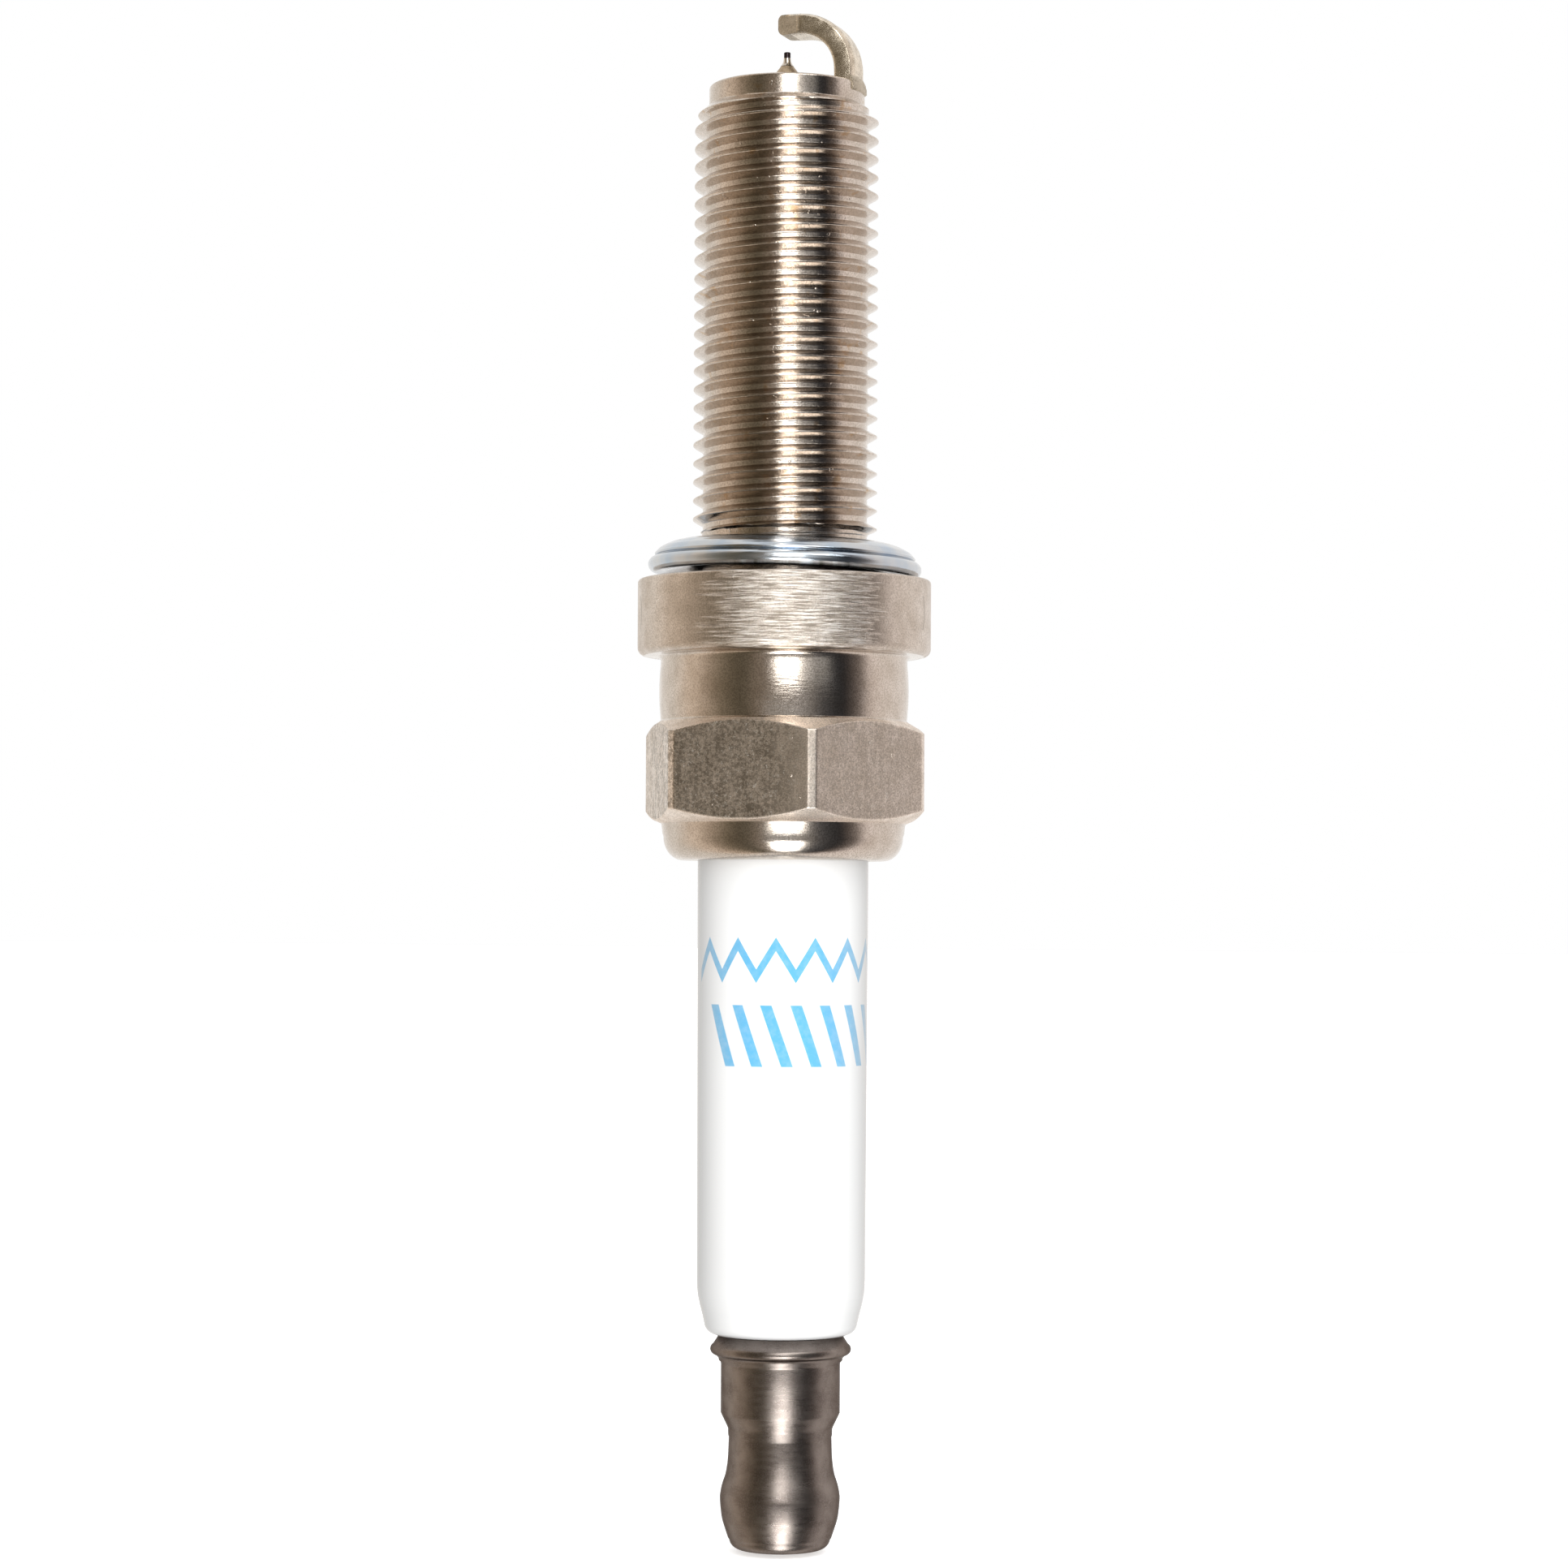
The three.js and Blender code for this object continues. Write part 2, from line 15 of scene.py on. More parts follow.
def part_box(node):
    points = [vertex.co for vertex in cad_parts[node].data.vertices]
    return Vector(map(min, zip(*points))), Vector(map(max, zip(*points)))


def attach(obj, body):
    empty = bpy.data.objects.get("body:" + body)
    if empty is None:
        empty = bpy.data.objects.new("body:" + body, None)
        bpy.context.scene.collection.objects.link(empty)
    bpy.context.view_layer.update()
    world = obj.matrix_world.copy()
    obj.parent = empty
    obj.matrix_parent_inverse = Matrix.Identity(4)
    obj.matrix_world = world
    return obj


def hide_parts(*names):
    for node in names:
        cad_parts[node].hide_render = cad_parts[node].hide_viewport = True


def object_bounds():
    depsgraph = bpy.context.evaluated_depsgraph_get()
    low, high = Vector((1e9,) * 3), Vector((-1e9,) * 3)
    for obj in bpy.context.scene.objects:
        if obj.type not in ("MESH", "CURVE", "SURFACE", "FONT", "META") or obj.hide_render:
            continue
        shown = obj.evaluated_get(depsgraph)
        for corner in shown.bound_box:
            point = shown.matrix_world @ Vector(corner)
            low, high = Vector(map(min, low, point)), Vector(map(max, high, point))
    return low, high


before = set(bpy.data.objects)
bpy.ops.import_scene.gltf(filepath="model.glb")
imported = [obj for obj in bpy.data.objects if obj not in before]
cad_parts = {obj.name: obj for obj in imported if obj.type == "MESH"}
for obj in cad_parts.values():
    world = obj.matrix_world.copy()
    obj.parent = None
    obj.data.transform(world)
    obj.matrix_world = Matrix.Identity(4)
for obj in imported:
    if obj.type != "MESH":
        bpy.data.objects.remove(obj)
CAD_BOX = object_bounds()
SEED = 7
MM = 0.001

# ---- sizes, in millimetres ----


def node_box(node):
    """Lowest and highest corner of a CAD node, in millimetres."""
    low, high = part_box(node)
    return Vector(low) / MM, Vector(high) / MM


SHELL_LOW, SHELL_HIGH = node_box("metal_shell")
INSULATOR_LOW, INSULATOR_HIGH = node_box("insulator")
STUD_LOW, STUD_HIGH = node_box("terminal_stud")
STRAP_LOW, STRAP_HIGH = node_box("ground_electrode")
TIP_LOW, TIP_HIGH = node_box("iridium_tip")
BEAD_END = node_box("tip_weld_bead")[1].z

# Thread
PITCH = 1.0
CREST_R = 4.965
ROOT_R = 4.43
CREST_FLAT = 0.085
CREST_PHASE = 0.71  # height of a crest above a whole millimetre on the +X side
REACH = SHELL_HIGH.z
UNDERCUT_R = 4.48
THREAD_START = 2.4
THREAD_END = 25.5
RUN_IN, RUN_OUT = 0.2, 0.62  # lengths over which the thread rises and runs out
RUN_OFFSET = 0.12  # how far towards the firing end both are shifted
SQUEEZE = 0.06  # share of its height that the thread's form keeps past its end
PILOT_R = 4.2

# Flange, neck, hexagon and crimp
FLANGE_R = SHELL_HIGH.x
FLANGE_H = 4.1
NECK_R = 6.62
NECK_BULGE = 0.1
HEX_TOP = -7.62
HEX_BOTTOM = -13.15
HEX_FLATS = 13.85
HEX_CORNER_R = 7.87
CHAMFER_RISE = 0.7
CRIMP_END = SHELL_LOW.z
CRIMP_R = 6.45
CRIMP_ROUND = 1.05
CRIMP_STRETCH = 1.2  # the curl's height over its width

# Bores of the shell
REAR_BORE_R = 5.5
BODY_BORE_R = 3.35
LEDGE_R = 2.75
NOSE_BORE_R = 3.2
LEDGE_Z = 15.1
LEDGE_DROP = 0.55  # height of the ledge's slope
REAR_BORE_END = -2.9
BODY_BORE_START = REAR_BORE_END + 2.15

# Insulator
REAR_END = INSULATOR_LOW.z
TRUNK_R = 4.53
TRUNK_ROOT_R = 4.6
MID_R = 5.42
MID_TOP = -11.1
BODY_R = 3.25
NOSE_ROOT_R = 2.5
NOSE_TIP_R = 1.85
NOSE_END = INSULATOR_HIGH.z
SEAL_BORE_R = 1.6
WIRE_BORE_R = 1.02
BORE_STEP = 7.6

# Terminal
TERMINAL_END = STUD_LOW.z
COLLAR_R = STUD_HIGH.x
BARREL_R = 3.2
WAIST_R = 2.76
# The bulge's radii at heights above the end face
BULGE_SHAPE = ((2.78, 0.6), (2.98, 1.2), (3.13, 1.75), (3.22, 2.65), (3.18, 3.1))
BULGE_SHAPE += ((3.09, 3.5), (2.94, 3.95), (2.855, 4.4), (2.8, 4.9), (2.775, 5.5))
STEM_R = 1.5
STEM_FOOT_R = STEM_R - 0.25
STEM_END = STUD_HIGH.z
STEM_FOOT_Z = STEM_END - 2.3

# Ground electrode strap
STRAP_W = 2.2
STRAP_T = 1.1
STRAP_ROUND = 0.3
STRAP_ROOT_U = 3.53
STRAP_BEND_R = 2.6
STRAP_TIP_U = STRAP_LOW.x
STRAP_FLAT_Z = STRAP_HIGH.z - STRAP_T / 2
STRAP_TRIM_W = 0.52
STRAP_TRIM_L = 1.35
STRAP_FOOT_STEPS = 6
STRAP_END_TOP_ROUND = 0.3
STRAP_END_LOW_ROUND = 0.38
STRAP_RAGGED = 0.006
WELD_RAGGED = 0.02
WELD_ROUND_FROM = 3.9  # further out than this the weld follows the shell's round side
# Distances of the strap's last rings from its free end.
STRAP_END_STEPS = (1.35, 1.2, 1.0, 0.8, 0.6, 0.48, 0.38, 0.3, 0.22, 0.15, 0.09, 0.045, 0.015, 0.0)

# Gasket
GASKET_HOLE_R = 4.62
GASKET_R = 7.37
GASKET_UPPER_R = 7.03
GASKET_H = 1.78
GASKET_LIFT = 0.28
GASKET_TILT = math.radians(1.2)
GASKET_LOW_SIDE = math.radians(19)

FIT = 0.03  # gap between pieces that touch on the real plug

# ---- camera ----

VIEW_AZIMUTH = math.radians(19.1)  # how far the camera stands round from looking along +Y
CAMERA_DISTANCE = 218.0
CAMERA_SIDE = 0.04
CAMERA_HEIGHT = -17.6
CAMERA_PITCH = math.radians(1.1)
CAMERA_ROLL = math.radians(0.3)
CAMERA_LENS = 92.937
CAMERA_SENSOR = 36.0
CAMERA_NEAREST = 0.01  # metres
CAMERA_SHIFT = 0.02907  # as little as the framing needs


def make_camera():
    data = bpy.data.cameras.new("camera")
    data.lens = CAMERA_LENS
    data.sensor_width = CAMERA_SENSOR
    data.shift_y = CAMERA_SHIFT
    data.clip_start = CAMERA_NEAREST
    camera = bpy.data.objects.new("camera", data)
    bpy.context.collection.objects.link(camera)
    right = Vector((math.cos(VIEW_AZIMUTH), math.sin(VIEW_AZIMUTH), 0))
    ahead = Vector((-math.sin(VIEW_AZIMUTH), math.cos(VIEW_AZIMUTH), 0))
    place = (right * CAMERA_SIDE - ahead * CAMERA_DISTANCE + Vector((0, 0, CAMERA_HEIGHT))) * MM
    turn = (
        Matrix.Rotation(VIEW_AZIMUTH, 4, "Z")
        @ Matrix.Rotation(math.pi / 2 + CAMERA_PITCH, 4, "X")
        @ Matrix.Rotation(CAMERA_ROLL, 4, "Z")
    )
    camera.matrix_world = Matrix.Translation(place) @ turn
    bpy.context.scene.camera = camera


make_camera()

# ---- shader helpers ----

MIX_FACTOR, MIX_A, MIX_B, MIX_RESULT = 0, 6, 7, 2  # sockets of a Mix node that mixes colours


def opaque(colour):
    return (*colour, 1)


class Shader:
    """A node tree with short ways to add nodes and to link or set their inputs."""

    def __init__(self, tree):
        self.tree = tree
        tree.nodes.clear()

    def node(self, kind, inputs=None, **settings):
        made = self.tree.nodes.new(kind)
        for key, value in settings.items():
            setattr(made, key, value)
        for key, value in (inputs or {}).items():
            self.put(made.inputs[key], value)
        return made

    def put(self, socket, value):
        """Links an input to another node's output, or sets it to a number or a colour."""
        if isinstance(value, bpy.types.NodeSocket):
            self.tree.links.new(value, socket)
        elif value is not None:
            socket.default_value = opaque(value) if socket.type == "RGBA" else value

    def math(self, operation, a, b=None, c=None):
        made = self.node("ShaderNodeMath", operation=operation)
        for socket, value in zip(made.inputs, (a, b, c)):
            self.put(socket, value)
        return made.outputs[0]

    def plus(self, a, b):
        return self.math("ADD", a, b)

    def minus(self, a, b):
        return self.math("SUBTRACT", a, b)

    def times(self, a, b):
        return self.math("MULTIPLY", a, b)

    def size_of(self, a):
        return self.math("ABSOLUTE", a)

    def mix(self, factor, a, b):
        inputs = {MIX_FACTOR: factor, MIX_A: a, MIX_B: b}
        return self.node("ShaderNodeMix", inputs, data_type="RGBA").outputs[MIX_RESULT]

    def ramp(self, value, stops):
        made = self.node("ShaderNodeValToRGB", {"Fac": value})
        line = made.color_ramp
        for position, colour in stops[1:-1]:
            line.elements.new(position).color = opaque(colour)
        ends = (line.elements[0], line.elements[-1])
        for end, (position, colour) in zip(ends, (stops[0], stops[-1])):
            end.position = position
            end.color = opaque(colour)
        return made.outputs["Color"]

    def span(self, value, low, high, to_low=0.0, to_high=1.0, smooth=False):
        kind = "SMOOTHSTEP" if smooth else "LINEAR"
        made = self.node("ShaderNodeMapRange", interpolation_type=kind)
        for socket, given in zip(made.inputs, (value, low, high, to_low, to_high)):
            self.put(socket, given)
        return made.outputs[0]

    def noise(self, vector, scale, detail, roughness=0.5):
        inputs = {"Vector": vector, "Scale": scale, "Detail": detail, "Roughness": roughness}
        return self.node("ShaderNodeTexNoise", inputs).outputs["Fac"]

    def ring_noise(self, axes, along, around, detail, roughness=0.5):
        """Noise in streaks: along is its scale along the axis and around its scale round it."""
        x, y, z = axes
        inputs = {0: self.times(self.math("ARCTAN2", y, x), around), 1: self.times(z, along)}
        vector = self.node("ShaderNodeCombineXYZ", inputs).outputs[0]
        return self.noise(vector, 1.0, detail, roughness)

    def bump(self, height, depth, normal=None):
        """Relief as deep as depth, in millimetres, on top of another normal."""
        inputs = {"Height": height, "Strength": 1.0, "Distance": depth * MM, "Normal": normal}
        return self.node("ShaderNodeBump", inputs).outputs["Normal"]

    def place(self):
        """The piece's own coordinates in millimetres."""
        inputs = {0: self.node("ShaderNodeTexCoord").outputs["Object"], "Scale": 1 / MM}
        return self.node("ShaderNodeVectorMath", inputs, operation="SCALE").outputs[0]

    def axes(self, vector):
        """The x, y and z of a vector."""
        return tuple(self.node("ShaderNodeSeparateXYZ", {0: vector}).outputs)

    def turn_from(self, axes, side):
        """The angle round the axis, measured from a direction."""
        return self.minus(self.math("ARCTAN2", axes[1], axes[0]), side)


def material(name, build=None, **sockets):
    """A Principled material. build adds nodes and returns more sockets for the shader."""
    made = bpy.data.materials.new(name)
    made.use_nodes = True
    shader = Shader(made.node_tree)
    principled = shader.node("ShaderNodeBsdfPrincipled")
    output = shader.node("ShaderNodeOutputMaterial")
    shader.tree.links.new(principled.outputs[0], output.inputs[0])
    values = {**sockets, **(build(shader) if build else {})}
    for key, value in values.items():
        shader.put(principled.inputs[key.replace("_", " ")], value)
    return made


# ---- metals ----

NICKEL = (0.63, 0.565, 0.51)
NICKEL_DULL = (0.52, 0.455, 0.395)
NICKEL_BRIGHT = (0.94, 0.9, 0.86)
NICKEL_STAIN = (0.5, 0.33, 0.17)
NICKEL_SMOKE = (0.3, 0.258, 0.215)
NICKEL_LIMIT = 0.95  # the lightest that the plating may be
STROKE_SIDES = (math.radians(-146), 0.0)  # directions of the two strokes on the flange
STROKE_Z, STROKE_HALF, STROKE_CURVE = -1.9, 0.9, -0.3
WORN_AND_SHEEN_SIDE = math.radians(-66)  # direction in which the flange's brushed patch and its painted sheen face
ALLOY = (0.84, 0.75, 0.62)
ALLOY_DARK = (0.36, 0.305, 0.23)
ZINC = (0.6, 0.62, 0.64)
ZINC_BLUE = (0.46, 0.54, 0.64)
TERMINAL = (0.18, 0.152, 0.138)
TERMINAL_LIGHT = (0.27, 0.235, 0.215)
TERMINAL_GRAIN = (0.28, 0.247, 0.23)
TERMINAL_EDGE = (0.35, 0.33, 0.32)  # tint of the plating seen at a glancing angle


def brushed_patch_with_sheen(s, place, axes, colour):
    """Dark brushed lines, bright lines of painted sheen and hair scratches. Also returns where the
    patch lies.
    """
    facing = s.math("COSINE", s.times(s.turn_from(axes, WORN_AND_SHEEN_SIDE), 2))
    ragged = s.span(s.ring_noise(axes, 5.0, 3.0, 3), 0.3, 0.7, -0.35, 0.35)
    patch = s.span(s.plus(facing, ragged), 0.4, 0.6)
    lines = s.ring_noise(axes, 11.0, 5.0, 4, 0.7)
    shade = s.times(s.span(lines, 0.52, 0.58, 0.0, 0.95), patch)
    colour = s.mix(shade, colour, NICKEL_SMOKE)
    # Painted sheen: bright lines that lighten the patch's colour.
    painted_gleam = s.times(s.span(lines, 0.49, 0.4, 0.0, 0.95), patch)
    colour = s.mix(painted_gleam, colour, NICKEL_BRIGHT)
    hair = s.size_of(s.minus(s.noise(place, 0.55, 2), 0.5))
    few = s.math("GREATER_THAN", s.noise(place, 1.3, 1), 0.6)
    scratch = s.times(s.span(hair, 0.0, 0.006, 1, 0), few)
    colour = s.mix(s.times(scratch, 0.6), colour, NICKEL_BRIGHT)
    return colour, patch


def strokes(s, axes, colour):
    """Two short curved strokes on the flange."""
    height = s.minus(axes[2], STROKE_Z)
    curve = s.times(s.times(height, height), STROKE_CURVE)
    inside = s.math("LESS_THAN", s.size_of(height), STROKE_HALF)
    for side in STROKE_SIDES:
        across = s.times(s.turn_from(axes, side), FLANGE_R)
        aside = s.size_of(s.minus(across, curve))
        stroke = s.times(s.span(aside, 0.05, 0.13, 1, 0), inside)
        colour = s.mix(s.times(stroke, 0.6), colour, NICKEL_SMOKE)
    return colour


def mottled(s, place, axes, mottle, colour, roughness, normal):
    """Dull patches and bright specks in the plating, fainter towards +X and +Y."""
    patches = s.times(s.noise(place, 4.5, 7, 0.85), 0.8)
    upright = s.times(s.ring_noise(axes, 0.5, 26.0, 3), 0.2)
    mixed = s.plus(patches, upright)
    depth = s.times(s.span(axes[0], 1.5, 3.5, 1.0, 0.4), s.span(axes[1], -3, 1, 1.0, 0.4))
    depth = s.times(depth, mottle)
    colour = s.mix(s.times(s.span(mixed, 0.46, 0.54), depth), colour, NICKEL_SMOKE)
    specks = s.span(s.noise(place, 7.0, 3, 0.7), 0.6, 0.66)
    colour = s.mix(s.times(specks, depth), colour, NICKEL_BRIGHT)
    roughness = s.plus(roughness, s.span(mixed, 0.35, 0.65, -0.06, 0.06))
    return colour, roughness, s.bump(mixed, mottle * 0.008, normal)


def nickel(
    name, rough, streaks, grain, mottle=0.0, stains=0.0, nicks=0.0, worn_with_sheen=False, light=1.0
):
    """Bright nickel plating.

    streaks, grain and nicks are the depths in millimetres of turning marks, pits and dents.
    mottle and stains are how strong those are, and light is how much lighter this copy of the
    plating is painted: painted light.
    """
    bright = tuple(min(c * light, NICKEL_LIMIT) for c in NICKEL)
    dull = tuple(min(c * light, NICKEL_LIMIT) for c in NICKEL_DULL)

    def build(s):
        place = s.place()
        axes = s.axes(place)
        cloud = s.noise(place, 0.9, 4)
        fine = s.noise(place, 12.0, 3, 0.7)
        colour = s.mix(s.span(cloud, 0.35, 0.7), bright, dull)
        colour = s.mix(s.span(fine, 0.46, 0.57, 0.0, 0.5), colour, NICKEL_SMOKE)
        roughness = s.span(cloud, 0.3, 0.75, rough * 0.85, rough * 1.2)
        if stains:
            spots = s.span(s.noise(place, 1.1, 3), 0.63, 0.72, 0.0, stains)
            colour = s.mix(spots, colour, NICKEL_STAIN)
        normal = s.bump(fine, grain)
        if streaks:
            turning = s.ring_noise(axes, 7.0, 6.0, 6, 0.65)
            if worn_with_sheen:
                colour, patch = brushed_patch_with_sheen(s, place, axes, colour)
                colour = strokes(s, axes, colour)
                turning = s.times(turning, patch)
            normal = s.bump(turning, streaks, normal)
        if mottle:
            looks = (colour, roughness, normal)
            colour, roughness, normal = mottled(s, place, axes, mottle, *looks)
        if nicks:
            spots = s.span(s.noise(place, 2.3, 1), 0.73, 0.77)
            normal = s.bump(spots, nicks, normal)
        return {"Base_Color": colour, "Roughness": roughness, "Normal": normal}

    return material(name, build, Metallic=1.0)


def alloy(name, rough, light, dark, grain):
    """Bare electrode alloy with a drawn or sheared grain, grain millimetres deep."""

    def build(s):
        place = s.place()
        cloud = s.noise(place, 2.2, 4)
        fine = s.noise(place, 18.0, 5, 0.7)
        mixed = s.plus(s.times(cloud, 0.3), s.times(fine, 0.7))
        colour = s.mix(s.span(mixed, 0.46, 0.6), light, dark)
        roughness = s.span(fine, 0.3, 0.7, rough * 0.8, rough * 1.2)
        return {"Base_Color": colour, "Roughness": roughness, "Normal": s.bump(fine, grain)}

    return material(name, build, Metallic=1.0)


def zinc_plate():
    def build(s):
        place = s.place()
        axes = s.axes(place)
        cloud = s.noise(place, 0.6, 3)
        waves = s.ring_noise(axes, 4.5, 1.2, 3)
        streaks = s.ring_noise(axes, 13.0, 4.0, 5)
        colour = s.mix(s.span(cloud, 0.35, 0.65), ZINC, ZINC_BLUE)
        roughness = s.span(streaks, 0.3, 0.7, 0.1, 0.2)
        normal = s.bump(streaks, 0.012, s.bump(waves, 0.03))
        return {"Base_Color": colour, "Roughness": roughness, "Normal": normal}

    return material("zinc_plate", build, Metallic=1.0)


def terminal_plate():
    def build(s):
        place = s.place()
        cloud = s.noise(place, 1.1, 4)
        grain = s.noise(place, 13.0, 4, 0.75)
        scuff = s.ring_noise(s.axes(place), 5.0, 2.0, 5)
        colour = s.mix(s.span(cloud, 0.35, 0.65), TERMINAL, TERMINAL_LIGHT)
        colour = s.mix(s.span(grain, 0.5, 0.58, 0, 0.8), colour, TERMINAL_GRAIN)
        roughness = s.span(scuff, 0.3, 0.7, 0.25, 0.33)
        return {"Base_Color": colour, "Roughness": roughness, "Normal": s.bump(grain, 0.005)}

    return material("terminal_plate", build, Metallic=1.0, Specular_Tint=TERMINAL_EDGE)


# ---- ceramics and powders ----

GLAZE = (0.88, 0.885, 0.89)
GLAZE_EDGE_SHADE = (0.3, 0.305, 0.31)  # painted shade, mixed in where the glaze turns away from the eye
PRINT_BLUE = (0.13, 0.45, 0.73)
PRINT_MIDDLE = math.radians(-62)  # direction in which the middle of the printed mark faces
PRINT_EDGE = 0.05  # width over which the ink fades out
# The zigzag: its height along the axis, half its rise, a quarter of its stroke, its pitch and
# half its length round the insulator
BAND_Z, BAND_HALF, BAND_STROKE, BAND_PITCH, BAND_REACH = -20.4, 0.85, 0.17, 2.1, 6.3
# The bars: their height along the axis, half their length and how far they lean
BARS_Z, BARS_HALF, BARS_LEAN = -24.4, 1.6, 0.35
# Their pitch, the filled share of it, where in it a bar starts, and how many pitches the row
# reaches to either side of its middle
BARS_PITCH, BARS_FILLED, BARS_START, BARS_BEFORE, BARS_AFTER = 1.6, 0.36, 0.3, 3, 4


def printed(s, value, low, high):
    """1 where value lies between low and high, with soft edges outside them."""
    above = s.span(value, low - PRINT_EDGE, low, 0, 1)
    return s.times(above, s.span(value, high, high + PRINT_EDGE, 1, 0))


def printed_zigzag(s, arc_length, z):
    saw = s.math("PINGPONG", arc_length, BAND_PITCH / 2)
    rise = s.times(s.minus(saw, BAND_PITCH / 4), 4 * BAND_HALF / BAND_PITCH)
    height = s.minus(z, BAND_Z)
    zigzag = printed(s, s.minus(height, rise), -BAND_STROKE * 2, BAND_STROKE * 2)
    return s.times(zigzag, printed(s, arc_length, -BAND_REACH, BAND_REACH))


def printed_bars(s, arc_length, z):
    height = s.minus(z, BARS_Z)
    slanted = s.plus(arc_length, s.times(height, BARS_LEAN))
    cell = s.math("WRAP", slanted, 0, BARS_PITCH)
    bars = printed(s, cell, BARS_START, BARS_START + BARS_PITCH * BARS_FILLED)
    bars = s.times(bars, printed(s, height, -BARS_HALF, BARS_HALF))
    row = printed(s, slanted, -BARS_PITCH * BARS_BEFORE, BARS_PITCH * BARS_AFTER)
    return s.times(bars, row)


def glaze():
    """White glaze with a generic printed mark: a zigzag line over a row of slanted bars."""

    def build(s):
        place = s.place()
        axes = s.axes(place)
        arc_length = s.times(s.turn_from(axes, PRINT_MIDDLE), TRUNK_R)
        marks = [draw(s, arc_length, axes[2]) for draw in (printed_zigzag, printed_bars)]
        ink = s.math("MAXIMUM", *marks)
        uneven = s.span(s.noise(place, 3.0, 4), 0.3, 0.6, 0.9, 1.0)
        colour = s.mix(s.times(ink, uneven), GLAZE, PRINT_BLUE)
        # Painted shade: the glaze is darkened where it turns away from the eye.
        edge = s.node("ShaderNodeLayerWeight", {"Blend": 0.5}).outputs["Facing"]
        colour = s.mix(s.span(edge, 0.05, 0.8, 0.0, 0.75), colour, GLAZE_EDGE_SHADE)
        speck = s.noise(place, 14.0, 2)
        normal = s.bump(speck, 0.0006, s.bump(s.noise(place, 0.35, 2), 0.02))
        roughness = s.span(speck, 0.3, 0.7, 0.05, 0.09)
        return {"Base_Color": colour, "Normal": normal, "Roughness": roughness}

    coat = {"Specular_IOR_Level": 0.3, "Coat_Weight": 0.15, "Coat_Roughness": 0.03}
    return material("glazed_alumina", build, **coat)


def powder(name, light, dark, scale, rough, metallic=0.0):
    """Pressed or fused powder with visible grains."""

    def build(s):
        grains = s.noise(s.place(), scale, 6, 0.7)
        colour = s.mix(s.span(grains, 0.4, 0.6), dark, light)
        roughness = s.span(grains, 0.3, 0.7, rough * 0.85, rough)
        return {"Base_Color": colour, "Roughness": roughness, "Normal": s.bump(grains, 0.02)}

    return material(name, build, Metallic=metallic)


# The light factors make lighter copies of the one nickel plating: painted light, strongest on the
# hexagon and its chamfers.
THREAD_METAL = nickel("nickel_thread", 0.1, 0.01, 0.002, stains=0.6, nicks=0.012, light=1.12)
TURNED_METAL = nickel("nickel_turned", 0.1, 0.01, 0.0015, light=1.1)
CRIMP_METAL = nickel("nickel_crimp", 0.15, 0.005, 0.001, light=1.1)
FLANGE_METAL = nickel("nickel_flange", 0.33, 0.06, 0.005, worn_with_sheen=True, light=1.12)
HEX_METAL = nickel("nickel_hexagon", 0.36, 0.0, 0.006, mottle=1.0, nicks=0.02, light=1.45)
CHAMFER_METAL = nickel("nickel_chamfer", 0.42, 0.01, 0.004, light=1.5)
BORE_METAL = nickel("nickel_bore", 0.35, 0.01, 0.004, mottle=0.4)
STRAP_METAL = alloy("electrode_alloy", 0.26, ALLOY, ALLOY_DARK, 0.01)
SHEARED_METAL = alloy("sheared_alloy", 0.42, (0.6, 0.53, 0.43), (0.34, 0.29, 0.22), 0.03)
CONE_METAL = alloy("cone_alloy", 0.4, (0.56, 0.45, 0.32), (0.3, 0.23, 0.16), 0.012)
WELD_METAL = alloy("weld_bead", 0.14, (0.75, 0.71, 0.66), (0.5, 0.46, 0.42), 0.004)
IRIDIUM = alloy("iridium_wire", 0.3, (0.06, 0.045, 0.05), (0.025, 0.02, 0.022), 0.002)
COPPER = alloy("copper", 0.25, (0.8, 0.42, 0.27), (0.6, 0.3, 0.2), 0.003)
PACKING_METAL = alloy("packing_steel", 0.35, (0.5, 0.5, 0.5), (0.34, 0.34, 0.34), 0.005)
ZINC_METAL = zinc_plate()
STUD_METAL = terminal_plate()
GLAZED = glaze()
SEAL_GLASS = powder("conductive_glass", (0.5, 0.3, 0.18), (0.12, 0.08, 0.06), 6.0, 0.5, 0.4)
RESISTOR_GLASS = powder("resistor_glass", (0.12, 0.12, 0.12), (0.02, 0.02, 0.02), 7.0, 0.8)
TALC = powder("pressed_talc", (0.86, 0.86, 0.82), (0.7, 0.7, 0.66), 5.0, 0.95)

# ---- mesh helpers ----


def arc(r, z, radius, start, end, steps):
    """Points on an arc about (r, z), in degrees from +r towards +z."""
    points = []
    for i in range(steps + 1):
        angle = math.radians(start + (end - start) * i / steps)
        points.append((r + radius * math.cos(angle), z + radius * math.sin(angle)))
    return points


def curve_through(points, steps):
    """A smooth Catmull-Rom curve through (r, z) points, with steps between each two."""
    result = []
    last = len(points) - 1
    for i in range(last):
        before, here = points[max(i - 1, 0)], points[i]
        there, after = points[i + 1], points[min(i + 2, last)]
        for k in range(steps):
            t = k / steps
            weights = (
                -0.5 * t + t * t - 0.5 * t**3,
                1 - 2.5 * t * t + 1.5 * t**3,
                0.5 * t + 2 * t * t - 1.5 * t**3,
                -0.5 * t * t + 0.5 * t**3,
            )
            four = (before, here, there, after)
            result.append(tuple(sum(w * p[a] for w, p in zip(weights, four)) for a in (0, 1)))
    result.append(points[-1])
    return result


